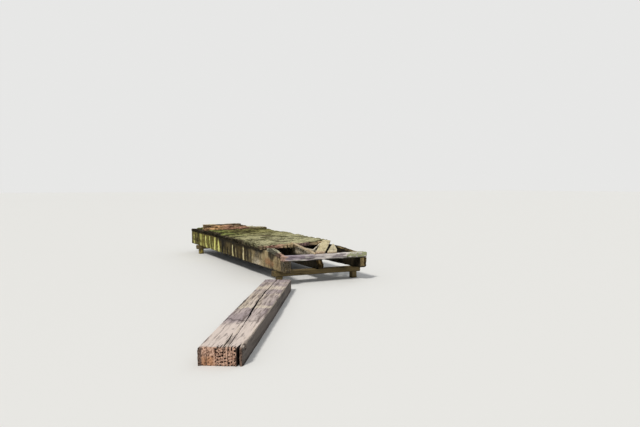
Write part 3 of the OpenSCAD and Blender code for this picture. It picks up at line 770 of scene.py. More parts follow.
along, side = (0, 1, 0), (1, 0, 0)
for number, node in enumerate(deck_nodes):
    at_break = number >= 19
    cells = (0.01, 0.0095, 0.0085) if at_break else (0.014, 0.0135, 0.0125)
    piece, points, facing, arris = fine_mesh(node, "worn", along, side, cells)
    seed = 101 + 3 * number
    low, high = (np.array(corner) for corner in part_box(node))
    x, y = points[:, 0] - girder_end, points[:, 1] - girder_face
    flat = np.stack([x, y, np.zeros(len(x))], 1)
    top = ramp(0.25, 0.8, facing[:, 2]) * ramp(deck_low, deck_low + 0.035, points[:, 2])
    rim = ramp(deck_low + 0.015, deck_high - 0.01, points[:, 2])
    behind = behind_break(x, y)
    # The rotten left ends crumble away in pits, most of all over the first half of the span
    zone = (
        0.075 + 0.1 * ramp(-3.0, -5.6, x) + 0.07 * drift(flat * [6, 5, 1], 91)
        + 0.03 * drift(flat * [17, 14, 1], 92)
    )
    rotten = ramp(zone + 0.05, zone - 0.03, y) * ramp(-1.95, -2.4, x)
    # The crust swells in cushions with creases between them, and sinks in over the joints
    cushion = (
        1.25 * np.abs(drift(flat * [9, 6.2, 1], 95)) + 0.62 * np.abs(drift(flat * [23, 16, 1], 96))
    )
    cushion = np.clip(cushion + 0.13 * drift(flat * [52, 40, 1], 97), 0, 1)
    growth = drift(flat * [2.3, 1.3, 1], 98) + 0.45 * drift(flat * [8, 5, 1], 89)
    cover = 0.2 + 0.8 * ramp(-1.1, -0.45, growth)
    from_joint = points[:, 0] - low[0]
    if number < 18:
        from_joint = np.minimum(from_joint, high[0] - points[:, 0])
    joint = 0.5 + 0.5 * ramp(-0.5, 0.5, drift(flat * [4, 3.1, 1], 90))
    joint *= ramp(0.026, 0.003, from_joint)
    # It ends in a ragged front a little behind the broken edge
    fringe = 0.5 + drift(flat * [1, 7, 1], 93) + 0.5 * drift(flat * [1, 19, 1], 94)
    front = 0.004 + 0.042 * np.clip(fringe, 0, 1) + 0.035 * np.exp(-(((y - 0.62) / 0.24) ** 2))
    settled = ramp(front - 0.012, front + 0.028, behind) if at_break else 1.0
    under_sleeper = ramp(sleeper_high[0] + 0.05, sleeper_high[0] - 0.02, points[:, 0])
    under_sleeper *= ramp(sleeper_low[0] - 0.05, sleeper_low[0] + 0.02, points[:, 0])
    run, over = fallen_place(points[:, 0], points[:, 1])
    by_board = ramp(0.04, 0.01, np.maximum(np.abs(over - 0.05) - 0.13, run - 1.64))
    run, over = fallen_place(points[:, 0], points[:, 1], lath_foot, lath_turn)
    by_lath = ramp(0.03, 0.0, np.maximum(np.abs(over - 0.015) - 0.02, run - 1.3))
    settled = settled * (1 - np.maximum(by_board, by_lath))
    crust_here = cover * settled * (1 - joint * 0.85) * (1 - rotten) * (1 - under_sleeper)
    lip = ramp(0.16, -0.03, y) * ramp(-2.3, -1.9, x)
    swell = crust_here * rim * ramp(0.1, 0.6, facing[:, 2])
    swell *= 0.009 + 0.021 * cushion + 0.004 * lip
    hanging = ramp(0.6, 0.25, drift(points * [9, 9, 14], 88)) * ramp(-1.1, -1.28, x)
    moss_mask = crust_here * top + (1 - top) * (rim * lip * hanging - 0.3 * (1 - lip))
    pits = bits(points * [24, 20, 24], 99, 0.25)
    pits += 0.6 * np.clip(drift(points * [52, 44, 50], 87), 0, 1)
    sunk = rotten * (0.008 + 0.026 * pits) * ramp(deck_low + 0.002, deck_low + 0.02, points[:, 2])
    sunk = sunk * (1 - under_sleeper)
    fibres = drifts(points, ((62, 4, 62), seed, 0.0022), ((26, 2, 26), seed + 1, 0.0028))
    # The broken ends are fibrous: each fibre stops at its own length
    tear = drifts(points, ((6, 16, 70), seed + 2, 0.02), ((9, 60, 90), 86, 0.01))
    tear *= ramp(0.075, 0.0, behind)
    end_face = ramp(0.4, 0.9, np.abs(facing[:, 1]))
    ends = drifts(points, ((34, 5, 48), seed + 3, 0.012), ((70, 9, 85), 85, 0.006))
    chips = bits(points * [12, 9, 12], 84, 0.2)
    worn = arris * (0.002 + 0.005 * chips)
    seat = ramp(0.7, 0.95, -facing[:, 2])
    push = swell - sunk + (fibres - 0.0015) * (1 - seat) - worn * (1 - 0.6 * seat)
    points += facing * push[:, None]
    points[:, 0] += tear * (1 - seat)
    points[:, 1] += ends * end_face
    settle(piece, points, along, side, 21 + number, (0.02, -0.03))
    keep_masks(piece, cushion=cushion * (1 - joint))
    shade = 0.52 + 0.18 * drift(flat * [2.4, 3.4, 1], 110) + 0.4 * drift(flat * [8.3, 6.1, 1], 111)
    shade = shade + 0.34 * drift(flat * [19, 11, 1], 117)
    shade = shade + 0.46 * drift(flat * [0.001, 1.1, 1] + [number, 0, 0], 112)
    keep_masks(
        piece,
        shade=shade - 0.1 * ramp(-3.2, -4.6, x) + 0.06 * ramp(-2.6, -1.6, x),
        moss=moss_mask,
    )
    torn_here = ramp(0.16, 0.05, behind - 0.6 * front) * ramp(-0.04, 0.3, 1 - top * settled)
    lip_side = ramp(0.05, -0.02, y) * (x > -2.5) * (1 - top)
    keep_masks(piece, torn=np.maximum(torn_here * at_break * ramp(-0.05, 0.16, y), 0.35 * lip_side))
    shift = 0.1 * drift(points * [4, 5, 26], 83)
    reddish = 0.62 + 0.6 * drift(points * [22, 8, 44], 116)
    keep_masks(
        piece,
        reddish=reddish * ramp(0.56, 0.42, y + shift) * ramp(0.0, 0.12, y),
        purple=ramp(0.8, 0.92, y + shift) * ramp(1.3, 1.12, y + shift) + 0.35 * ramp(0.2, 0.02, y),
        pale=ramp(-4.6, -1.6, x + 0.5 * y) + 0.7 * lip,
        green=0.8 * ramp(-3.1, -4.2, x) * ramp(0.62, 0.22, y + 0.22 * drift(flat * [3, 3, 1], 82)),
    )
    # Painted shade: on the undersides, on the sides of the boards in the gaps between them, and on
    # the lower part of the board ends near the broken edge, under the overhang of the crusted lip.
    # The left end faces below the top are dark from rot, and painted shade.
    shaded_underside = ramp(0.2, 0.8, -facing[:, 2])
    shaded_board_side = ramp(0.5, 0.9, np.abs(facing[:, 0])) * ramp(0.05, 0.09, behind)
    by_lip = x > -2.3
    lip_edge = ramp(0.05, 0.015, y + 0.03 * drift(flat * [11, 11, 1], 113)) * ramp(-1.0, -1.2, x)
    lip_foot_shade = ramp(0.6, 0.32, (points[:, 2] - deck_low) / (deck_high - deck_low))
    lip_pits = ramp(0.12, 0.34, drift(points * [19, 19, 24], 114) + 0.4 * drift(points * 47, 115))
    below_top = ramp(0.02, -0.02, points[:, 2] - deck_high + 0.01 * drift(points * 30, 80))
    keep_masks(
        piece,
        damp=most(
            rotten * (0.8 + 0.45 * drift(points * [16, 12, 20], 81)),
            0.8 * shaded_underside,
            0.8 * shaded_board_side,
            0.55 * joint * top,
            0.92 * (x < -2.2) * end_face * below_top,
            0.94 * by_lip * end_face * lip_foot_shade,
            0.92 * by_lip * end_face * lip_pits,
            0.4 * by_lip * lip_edge,
            0.6 * under_sleeper,
        ),
    )
    dress(piece, deck_wood, node)

# Slivers that have torn loose along the broken edge and hang from it by one end
sliver_rng = np.random.default_rng(7)
edge_run = Vector((break_right - break_left, across, 0)).normalized()
edge_out = Vector((edge_run.y, -edge_run.x, 0))
shape = bmesh.new()


def add_sliver(start, run, length, wide, thick, sag):
    """A thin tapering split of wood in five short lengths, which bends down under its weight."""
    run = run.normalized()
    across_it = run.cross(Vector((0, 0, 1))).normalized()
    upwards = across_it.cross(run)
    loops = []
    for i in range(6):
        t = i / 5
        middle = start + run * (length * t) - Vector((0, 0, sag * t * t))
        w, h = wide / 2 * (1 - 0.88 * t ** 1.4), thick / 2 * (1 - 0.8 * t)
        loops.append([
            shape.verts.new(middle + across_it * (w * a) + upwards * (h * b))
            for a, b in ((-1, -0.6), (-0.5, -1), (0.8, -0.8), (1, 0.5), (0.3, 1), (-0.8, 0.7))
        ])
    for first, second in zip(loops, loops[1:]):
        for i in range(6):
            shape.faces.new((first[i], first[(i + 1) % 6], second[(i + 1) % 6], second[i]))
    shape.faces.new(loops[0][::-1])
    shape.faces.new(loops[-1])


for i in range(64):
    y = sliver_rng.uniform(0.1, 1.72)
    hanging = 0.48 < y < 0.9 and i % 3
    start = on_site(break_left, 0) + edge_run * (y / edge_run.y)
    start += edge_out * sliver_rng.uniform(-0.05, -0.028)
    start.z = deck_low + sliver_rng.uniform(0.012, 0.06)
    way = edge_run * sliver_rng.choice([-1, 1]) + edge_out * sliver_rng.uniform(0.05, 0.3)
    length, wide = sliver_rng.uniform(0.11, 0.27), sliver_rng.uniform(0.008, 0.017)
    sag = sliver_rng.uniform(0.004, 0.03)
    if hanging:
        way = edge_out + edge_run * sliver_rng.uniform(-0.9, 0.9)
        length, sag = sliver_rng.uniform(0.07, 0.12), sliver_rng.uniform(0.03, 0.055)
    if not 0.1 < y + way.normalized().y * length < 1.7:
        way = way - 2 * edge_run * way.dot(edge_run)
    add_sliver(start, way, length, wide, sliver_rng.uniform(0.004, 0.008), sag)
bmesh.ops.recalc_face_normals(shape, faces=shape.faces)
piece = new_piece(shape, "torn_slivers")
points, _, _ = read_points(piece)
y = points[:, 1] - girder_face
settle(piece, points, along, side, 60)
keep_masks(
    piece, cushion=0, shade=1, moss=0, torn=1,
    reddish=ramp(0.58, 0.44, y),
    purple=0.8 * ramp(0.86, 0.95, y) * ramp(1.3, 1.12, y),
    pale=1, green=0, damp=0,
)
dress(piece, deck_wood)


# The far sleeper
# A second-hand timber laid across the far end of the deck. It is rotten to a crumbling
# reddish brown, except for its right third, which is grey and has sunk.

red_rot = new_finish("red rotten wood", 0.9, 0.15, 1.3, 1.0)
orange = mixed(tone, (0.09, 0.032, 0.012), (0.92, 0.56, 0.29))
pink = mixed(tone, (0.075, 0.027, 0.018), (0.8, 0.45, 0.31))
red = mixed(mask("pink"), orange, pink)
grey = mixed(tone, (0.045, 0.036, 0.018), (0.4, 0.33, 0.185))
colour = mixed(mask("grey"), red, grey)
crumble = noise((14, 40, 40), 5, 0.68)
cracks = noise((4, 17, 17), 4, 0.62)
colour = mixed(times(spread(cracks, 0.5, 0.4), 0.8), colour, (0.045, 0.018, 0.01))
colour = mixed(spread(crumble, 0.47, 0.37), colour, (0.03, 0.012, 0.006))
# Darkened by damp and rot, and by painted shade on the back face
colour = mixed(mask("damp"), colour, (0.022, 0.012, 0.007))
crust = group_node(
    moss_and_lichen, Amount=mask("moss"), Moss=(0.3, 0.27, 0.11), Lichen=(0.66, 0.62, 0.42),
    Hollow=(0.06, 0.045, 0.02), Under=colour
)
relief = times_plus(crumble, 1.3, grain["Height"])
finish(crust["Color"], relief, 0.012, 0.9)

along, side = (0, 1, 0), (1, 0, 0)
piece, points, facing, arris = fine_mesh(
    "far_sleeper", "timber", along, side, (0.01, 0.0075, 0.0075)
)
low, high = np.array(sleeper_low), np.array(sleeper_high)
share = (points[:, 1] - low[1]) / (high[1] - low[1])
over, up = points[:, 0] - low[0], (points[:, 2] - low[2]) / (high[2] - low[2])
crumbs = drifts(points, ((20, 7, 24), 201, 0.012), ((46, 20, 52), 202, 0.007))
layers = np.abs(drift(points * [4, 1.3, 38], 203)) * 0.013
chips = bits(points * [13, 10, 13], 206, 0.25)
base = ramp(low[2] + 0.004, low[2] + 0.03, points[:, 2])
points += facing * ((crumbs - layers - arris * (0.004 + 0.012 * chips)) * base)[:, None]
points[:, 1] += drift(points * [30, 4, 36], 207) * 0.014 * ramp(0.5, 0.9, np.abs(facing[:, 1]))
settle(piece, points, along, side, 51, (0.04, -0.03))
keep_masks(piece, pink=ramp(0.24, 0.4, share + 0.08 * drift(points * 9, 208)))
upper_front = ramp(0.42, 0.6, up + 0.12 * drift(points * [9, 5, 9], 210)) * ramp(0.34, 0.5, share)
grey_end = ramp(0.66, 0.74, share + 0.03 * drift(points * 9, 204))
far_half = ramp(0.1375, 0.075, over)
keep_masks(piece, grey=most(grey_end, 0.75 * far_half, 0.75 * upper_front))
far_rim = ramp(0.085, 0.045, over) * ramp(0.4, 0.9, facing[:, 2]) * ramp(0.7, 0.55, share)
grey_top = ramp(0.66, 0.74, share) * ramp(0.5, 0.9, facing[:, 2])
keep_masks(
    piece,
    moss=far_rim + grey_top * (0.5 + 0.5 * drift(points * [6, 3, 6], 205)),
    cushion=0.8,
    shade=0.8 + 0.5 * drift(points * [5, 5, 5], 209),
)
trough = ramp(0.045, 0.08, over) * ramp(0.185, 0.15, over) * ramp(0.2, 0.7, facing[:, 2])
foot = ramp(0.16, 0.02, up)
from_brow = up - 0.8 - 0.12 * drift(points * [3, 4, 3], 211)
brow = ramp(0.5, 0.9, facing[:, 0]) * np.exp(-((from_brow / 0.09) ** 2))
keep_masks(
    piece,
    damp=most(
        0.85 * trough * (share < 0.7),
        0.65 * foot,
        0.85 * brow,
        # Painted shade on the back face, which looks away from the light
        0.75 * ramp(0.2, 0.8, -facing[:, 0]),
    ),
)
dress(piece, red_rot, "far_sleeper")


# The near threshold
# A squared timber let into the notched ends of the outer girders. It is purple-grey from the
# weather, paler towards the right, and its lower edge has been washed pale.

threshold_wood = new_finish("threshold wood", 0.8, 0.25, 1.1, 1.0)
purple = mixed(tone, (0.11, 0.085, 0.108), (0.49, 0.415, 0.46))
fawn = mixed(tone, (0.27, 0.235, 0.232), (0.77, 0.705, 0.67))
colour = mixed(mask("right"), purple, fawn)
blotch = noise((5, 20, 20), 4, 0.6)
colour = mixed(times(spread(blotch, 0.53, 0.39), 0.72), colour, (0.105, 0.078, 0.105))
colour = mixed(mask("washed"), colour, (0.7, 0.68, 0.59))
red = mixed(tone, (0.11, 0.05, 0.036), (0.58, 0.39, 0.3))
colour = mixed(mask("red"), colour, red)
lichen_spots = noise((14, 26, 26), 4, 0.65)
spot_share = plus(lichen_spots, times_plus(mask("lichen"), 0.5, -0.5))
colour = mixed(spread(spot_share, 0.4, 0.58), colour, (0.31, 0.33, 0.17))
colour = mixed(grain["Check"], colour, (0.03, 0.022, 0.022))
# Darkened by damp, and by painted shade on the underside and the back face
colour = mixed(mask("damp"), colour, (0.022, 0.016, 0.012))
finish(colour, grain["Height"], 0.007, 0.9)

piece, points, facing, arris = fine_mesh(
    "near_threshold", "timber", along, side, (0.012, 0.0065, 0.0065)
)
low, high = (np.array(corner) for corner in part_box("near_threshold"))
furrows = drifts(points, ((44, 2.0, 44), 211, 0.0035), ((18, 1.1, 18), 212, 0.005))
edge = ramp(high[0] - 0.035, high[0], points[:, 0]) * ramp(low[2] + 0.05, low[2], points[:, 2])
bites = np.abs(drift(points * [4, 7, 4], 213)) * 0.024 * edge
chips = bits(points * [10, 6, 10], 215, 0.15)
seat = ramp(0.7, 0.95, -facing[:, 2])
push = (furrows - bites - 0.002) * (1 - seat) - arris * (0.002 + 0.008 * chips) * (1 - 0.5 * seat)
points += facing * push[:, None]
settle(piece, points, along, side, 52, (-0.02, -0.02))
up = (points[:, 2] - low[2]) / (high[2] - low[2])
y = points[:, 1] - girder_face
front = ramp(0.4, 0.85, facing[:, 0])
line = ramp(0.34, 0.16, up + 0.1 * drift(points * [2, 8, 6], 214)) * ramp(0.5, 0.38, y)
patch_edge = 0.035 * drift(points * [3, 3, 22], 216)
white_patch = ramp(0.055, 0.025, np.abs(y - 0.475 + patch_edge))
white_patch *= ramp(0.0, 0.2, facing[:, 0] + facing[:, 2])
white_patch *= 0.3 + 0.9 * drift(points * [30, 12, 30], 217)
low_right = 0.25 * ramp(0.45, 0.6, y) * ramp(0.5, 0.2, up)
keep_masks(
    piece,
    washed=most(0.9 * line * front, white_patch, low_right * front),
    right=ramp(0.5, 0.8, y + 0.1 * drift(points * [6, 5, 6], 218)),
)
ragged = y + 0.05 * drift(points * [14, 14, 22], 219) + 0.02 * drift(points * 50, 222)
keep_masks(
    piece,
    red=ramp(0.07, 0.02, ragged),
    lichen=ramp(1.1, 1.35, y + 0.1 * drift(points * [5, 5, 5], 220)),
    # Painted shade on the underside and on the back face, which looks away from the light
    damp=np.maximum(0.85 * ramp(0.3, 0.8, -facing[:, 2]), 0.8 * ramp(0.3, 0.8, -facing[:, 0])),
)
dress(piece, threshold_wood, "near_threshold")


# The rotten strip
# What is left of an edge board, fibrous and soft: it lies on the left girder's top and sags
# down its rotted end. It is greenish grey, and reddish where it meets the threshold.

strip_wood = new_finish("rotten strip wood", 0.9, 0.15, 1.4, 1.0, (0.38, 0.62))
grey = mixed(tone, (0.08, 0.074, 0.045), (0.56, 0.535, 0.385))
red = mixed(tone, (0.095, 0.042, 0.03), (0.54, 0.34, 0.26))
colour = mixed(mask("red"), grey, red)
crevices = noise((2.2, 60, 60), 4, 0.6, 0.4)
colour = mixed(spread(crevices, 0.5, 0.38), colour, (0.02, 0.016, 0.009))
# Darkened by damp, and by painted shade on the underside and the inner side
colour = mixed(mask("damp"), colour, (0.014, 0.011, 0.006))
relief = times_plus(crevices, 1.5, grain["Height"])
finish(colour, relief, 0.012, 0.9)

along, side = (1, 0, 0), (0, 1, 0)
piece, points, facing, arris = fine_mesh("rotten_strip", "wood", along, side, (0.009, 0.005, 0.006))
from_end = points[:, 0] - girder_end
furrows = drifts(points, ((3, 58, 58), 221, 0.005), ((8, 26, 26), 222, 0.007))
seat = ramp(0.5, 0.9, -facing[:, 2])
chips = bits(points * [11, 14, 14], 224, 0.3)
points += facing * ((furrows - 0.001) * (1 - seat) - arris * (0.002 + 0.01 * chips))[:, None]
ragged = ramp(0.5, 0.9, np.abs(facing[:, 0])) * drift(points * [6, 46, 46], 225) * 0.02
points[:, 0] += ragged
settle(piece, points, along, side, 53)
keep_masks(piece, red=ramp(-0.44, -0.3, from_end + 0.06 * drift(points * 12, 223)))
from_face = points[:, 1] - girder_face + 0.015 * drift(points * [9, 9, 9], 226)
hollow = ramp(0.055, 0.025, from_face) * ramp(-0.8, -0.66, from_end)
# Painted shade on the underside and on the inner side, which looks away from the light
keep_masks(piece, damp=most(0.8 * seat, 0.75 * ramp(0.3, 0.8, facing[:, 1]), 0.8 * hollow))
dress(piece, strip_wood, "rotten_strip")


# The fallen board and the loose pieces beside it
# Dry split wood, yellow to beige: a deck board with the two nail holes of its head, the strip
# that has split from its side, a broken piece, and a long thin lath.

split_wood = new_finish("dry split wood", 0.85, 0.2, 1.0, 0.9)
colour = mixed(tone, (0.31, 0.235, 0.115), (0.68, 0.595, 0.37))
stain = noise((3.5, 16, 16), 4, 0.6)
colour = mixed(times(spread(stain, 0.46, 0.34), 0.65), colour, (0.2, 0.15, 0.08))
pink = mixed(tone, (0.26, 0.15, 0.1), (0.56, 0.4, 0.3))
colour = mixed(mask("pink"), colour, pink)
bright = mixed(tone, (0.48, 0.4, 0.27), (0.76, 0.69, 0.54))
colour = mixed(mask("bright"), colour, bright)
colour = mixed(grain["Check"], colour, (0.06, 0.04, 0.022))
colour = mixed(mask("damp"), colour, (0.018, 0.012, 0.007))
finish(colour, grain["Height"], 0.006, 0.8)

# Where the nails went through, along the board from its foot and across it from its left side
nail_places = [(1.385, 0.032), (1.4, 0.13)]
for number, (node, cells) in enumerate(
    (("fallen_board", (0.01, 0.0065, 0.007)), ("fallen_splinter", (0.008, 0.0045, 0.005)),
     ("broken_piece", (0.009, 0.007, 0.007)), ("loose_lath", (0.01, 0.0045, 0.005)))
):
    # The piece's own plane leans from the floor: its widest flat face gives the way up
    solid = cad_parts[node].data
    upper_faces = [face for face in solid.polygons if face.normal.z > 0.5]
    upper = max(upper_faces, key=lambda face: face.area).normal
    turn = lath_turn if node == "loose_lath" else fallen_turn
    along = Vector((-math.cos(turn), math.sin(turn), 0))
    along = (along - upper * along.dot(upper)).normalized()
    side = upper.cross(along)
    piece, points, facing, arris = fine_mesh(node, "wood", along, side, cells)
    seed = 231 + 4 * number
    run, over = fallen_place(points[:, 0], points[:, 1])
    grain_place = np.stack([points @ np.array(along), points @ np.array(side), points[:, 2]], 1)
    furrows = drifts(grain_place, ((3, 48, 48), seed, 0.0016), ((1.5, 19, 19), seed + 1, 0.0022))
    chips = bits(grain_place * [7, 14, 14], seed + 2, 0.2)
    seat = ramp(0.7, 0.95, -facing[:, 2])
    on_ends = ramp(0.5, 0.9, np.abs(facing @ np.array(along)))
    points += facing * ((furrows - 0.0008) * (1 - seat) - arris * (0.001 + 0.004 * chips))[:, None]
    splinters = on_ends * drift(grain_place * [4, 70, 60], seed + 3) * 0.012
    points += np.array(along) * splinters[:, None]
    holes = np.zeros(len(points))
    if node == "fallen_board":
        for nail_run, nail_over in nail_places:
            hole = ramp(0.034, 0.02, np.hypot((run - nail_run) * 0.6, over - nail_over))
            hole *= ramp(0.3, 0.8, facing[:, 2])
            points[:, 2] -= 0.018 * hole
            holes = np.maximum(holes, hole)
    settle(piece, points, along, side, 61 + number, (0.03, -0.06))
    foot = ramp(0.3, 0.05, run) * (node != "loose_lath")
    keep_masks(
        piece,
        pink=(0.45 if node == "loose_lath" else 0.0) + 0.7 * foot,
        bright={"fallen_splinter": 1.0, "broken_piece": 0.35}.get(node, 0.0),
    )
    shaded = np.maximum(0.6 * ramp(0.3, 0.9, -facing[:, 2]), 0.45 * ramp(0.4, 0.9, facing[:, 1]))
    keep_masks(piece, damp=np.maximum(holes, shaded))
    dress(piece, split_wood, node)


# The split plank
# One heavy squared timber that has split from end to end. Its top is weathered beige to
# purple-grey, with painted tree shadows in purple-grey bands across it and painted sunlight in
# cream bands between them. Its right side is dark, partly with painted shade, and the near end
# has rotted into upright pockets, dark with rot and painted shade; shade is painted in the split.

plank_wood = new_finish("plank wood", 0.8, 0.2, 0.9, 1.0, (0.39, 0.61))
near_top = mixed(tone, (0.15, 0.106, 0.09), (0.73, 0.625, 0.565))
tan = mixed(tone, (0.26, 0.198, 0.145), (0.64, 0.54, 0.43))
tan_share = spread(noise((0.9, 6, 6), 4, 0.6), 0.52, 0.7)
near_top = mixed(tan_share, near_top, tan)
# Painted tree shadows: the purple-grey colour of the bands across the top
mid_top = mixed(tone, (0.12, 0.092, 0.095), (0.4, 0.33, 0.335))
far_top = mixed(tone, (0.2, 0.152, 0.112), (0.57, 0.47, 0.36))
broad = noise((1.3, 3.5, 3.5), 3, 0.5, 0.2)
mid_share = plus(mask("mid"), times_plus(broad, 0.9, -0.45))
beige_top = mixed(mask("far"), near_top, far_top)
top = mixed(spread(mid_share, 0.12, 0.88), beige_top, mid_top)
weathering = noise((2.4, 20, 20), 5, 0.62, 0.15)
top = mixed(times(spread(weathering, 0.49, 0.38), 0.66), top, (0.15, 0.118, 0.105))
seams = noise((2.2, 44, 44), 4, 0.6)
top = mixed(times(spread(seams, 0.46, 0.37), 0.74), top, (0.12, 0.09, 0.08))
# Pale along the worn right edge, and painted sunlight in cream bands across the top
edge = mixed(mask("wane"), top, (0.64, 0.56, 0.445))
# The right side is dark: its own dark wood, wet in the lower part, and painted shade, as it looks
# away from the light
dark_and_shaded_side = mixed(tone, (0.022, 0.017, 0.015), (0.145, 0.12, 0.104))
colour = mixed(mask("side"), edge, dark_and_shaded_side)
colour = mixed(grain["Check"], colour, (0.035, 0.026, 0.022))
pores = noise((8, 85, 60), 5, 0.7, 0.2)
porous = spread(pores, 0.34, 0.62)
end_wood = mixed(porous, (0.19, 0.085, 0.052), (0.74, 0.49, 0.365))
orange = mixed(porous, (0.17, 0.072, 0.036), (0.61, 0.335, 0.195))
end_wood = mixed(mask("orange"), end_wood, orange)
end_dark = mixed(porous, (0.05, 0.03, 0.024), (0.25, 0.165, 0.125))
end_wood = mixed(mask("end_dark"), end_wood, end_dark)
colour = mixed(mask("end"), colour, end_wood)
# Darkened by damp and rot, and by painted shade in the split, the cleft and the rotten pockets
colour = mixed(mask("damp"), colour, (0.014, 0.008, 0.006))
relief = times_plus(times(pores, mask("end")), 2.0, grain["Height"])
finish(colour, relief, 0.005, 0.8)

plank_turn = math.radians(30.3)
plank_along = np.array([math.cos(plank_turn), -math.sin(plank_turn), 0])
plank_side = np.array([math.sin(plank_turn), math.cos(plank_turn), 0])
plank_long, plank_wide, plank_thick = 4.43, 0.48, 0.195
plank_start = np.array(on_site(0.294, -0.236)) - plank_side * plank_wide / 2
near_corner = Vector(plank_start + plank_along * plank_long)
rib_step = 0.034
# How strongly the painted tree shadows make the top purple-grey at each place along the plank,
# on its left half and its right one
shadow_band_places = [
    0, 0.32, 0.38, 0.46, 0.62, 0.72, 0.97, 1.05, 1.38, 1.46, 1.56, 2.26, 2.32, 2.45, 2.51, 2.75,
    3.08, 3.22, 3.34, 3.6
]
shadow_band_left = [
    0.9, 0.9, 0.3, 0.8, 0.7, 0.2, 0.15, 0.7, 0.55, 0.15, 0.12, 0.1, 0, 0, 0.95, 0.95, 0.95, 0.95,
    0.5, 0
]
shadow_band_right = [
    0.9, 0.9, 0.25, 0.95, 0.85, 0.2, 0.1, 1, 0.9, 0.25, 0.7, 0.65, 0, 0, 0.85, 0.75, 0.5, 0.45,
    0.15, 0
]
for number, node in enumerate(("plank_left_half", "plank_right_half")):
    piece, *_ = fine_mesh(node, "timber", plank_along, plank_side, (0.02, 0.007, 0.008))
    # The near end is cut finer, for its rotten pockets
    shape = bmesh.new()
    shape.from_mesh(piece.data)
    way = Vector(plank_along)
    facing_near = (face for face in shape.faces if face.normal.dot(way) > 0.7)
    ends = {
        face for face in facing_near if (face.calc_center_median() - near_corner).dot(way) > -0.07
    }
    edges = [edge for edge in shape.edges if ends.intersection(edge.link_faces)]
    bmesh.ops.subdivide_edges(shape, edges=edges, cuts=1, use_grid_fill=True)
    bmesh.ops.triangulate(shape, faces=[face for face in shape.faces if len(face.verts) > 4])
    shape.to_mesh(piece.data)
    shape.free()
    piece.data.polygons.foreach_set("use_smooth", [True] * len(piece.data.polygons))
    points, facing, arris = read_points(piece)
    run = (points - plank_start) @ plank_along
    over = (points - plank_start) @ plank_side
    up = points[:, 2]
    own = np.stack([run, over, up], 1)
    on_end = facing @ plank_along
    on_side = facing @ plank_side
    top = ramp(0.5, 0.9, facing[:, 2])
    left_side = ramp(0.5, 0.9, -on_side) * (over < 0.05)
    right_side = ramp(0.5, 0.9, on_side) * (over > plank_wide - 0.06)
    seam = ramp(0.35, 0.75, np.abs(on_side)) * (over > 0.1) * (over < plank_wide - 0.028)
    near_end = ramp(0.35, 0.8, on_end) * ramp(plank_long - 0.26, plank_long - 0.05, run)
    far_end = ramp(0.35, 0.85, -on_end) * ramp(0.1, 0.03, run)
    # Furrows along the grain, soft dips, and worn ragged edges
    furrows = drifts(own, ((2.0, 46, 46), 301 + number, 0.002), ((0.8, 17, 17), 303, 0.0026))
    dips = drift(own * [1.4, 6, 6], 305) * 0.0035
    from_edge = np.minimum(over, plank_wide - over)
    ragged = ramp(0.04, 0.0, from_edge) * ramp(plank_thick - 0.045, plank_thick, up)
    bites = drifts(own, ((6, 3, 3), 307, 0.8), ((17, 8, 8), 308, 0.5))
    bites = np.clip(bites - 0.05, 0, 1)
    seat = ramp(0.7, 0.95, -facing[:, 2])
    chips = bits(own * [9, 20, 20], 309, 0.15)
    push = (furrows + dips - 0.002) * (1 - near_end)
    push = (push - (0.02 + 0.012 * (over > 0.3)) * ragged * bites) * (1 - seat)
    by_split = arris * ramp(0.3, 0.6, facing[:, 2]) * (over > 0.12) * (over < 0.34)
    by_split = by_split * (run < plank_long - 0.06)
    push -= 0.01 * by_split * (0.3 + 0.7 * chips)
    push -= arris * (1 - near_end) * (0.002 + 0.005 * chips) * (1 - seam)
    # The near end: upright ribs with rotten pockets between them, deepest right of the middle
    share = over / plank_wide
    column = over / rib_step + 0.3 * drift(own * [1, 4, 11], 311)
    row = up / rib_step + 0.45 * drift(own * [1, 9, 3], 312) + 0.5 * (np.floor(column) % 2)
    cell = np.stack([np.floor(column), np.floor(row), np.zeros(len(points))], 1)
    size = 0.5 + 0.42 * drift(cell * 3.71 + 0.37, 316)
    depth = 0.75 + 0.45 * drift(cell * 2.93 + 0.19, 317)
    from_middle = np.hypot(1.1 * np.abs(column % 1 - 0.5), 0.8 * np.abs(row % 1 - 0.5)) * 2
    from_middle = from_middle + 0.3 * drift(own * [1, 62, 48], 315)
    pocket = ramp(size + 0.14, size - 0.16, from_middle)
    deep_part = ramp(0.3, 0.46, share + 0.05 * drift(own * [1, 5, 9], 318))
    deep_part *= ramp(0.88, 0.83, share)
    pocket = pocket * np.clip(deep_part * depth + 0.4 * (depth > 0.62), 0, 1)
    pits = np.clip(drift(own * [1, 60, 44], 313) - 0.12, 0, 1) * 1.4 * (1 - 0.6 * deep_part)
    lumps = drifts(own, ((1, 14, 12), 314, 0.005), ((1, 42, 12), 319, 0.003))
    inner_part = near_end * (1 - arris)
    points += facing * push[:, None]
    inwards = inner_part * (0.026 * pocket + 0.007 * pits) + near_end * (0.004 - 0.8 * lumps)
    inwards = inwards + near_end * arris * (0.006 + 0.016 * bits(own * [1, 26, 26], 320, 0.2))
    points -= plank_along * inwards[:, None]
    settle(piece, points, plank_along, plank_side, 71, (0.0, -0.14))
    wander = run + 0.06 * drift(own * [1.5, 7, 1], 321) + 0.05 * drift(own * [4, 30, 1], 329)
    # Painted tree shadows in bands across the top, different on the two halves
    to_right = ramp(0.4, 0.56, share)
    painted_shadow_bands = np.interp(wander, shadow_band_places, shadow_band_left) * (1 - to_right)
    painted_shadow_bands += np.interp(wander, shadow_band_places, shadow_band_right) * to_right
    # Painted sunlight: pale bands across the top between the painted shadows
    lit_bands = np.zeros(len(points))
    for at, wide, strength in ((2.39, 0.055, 1.0), (0.84, 0.09, 0.6), (1.46, 0.03, 0.45)):
        lit_bands += strength * np.exp(-(((wander - at) / wide) ** 2))
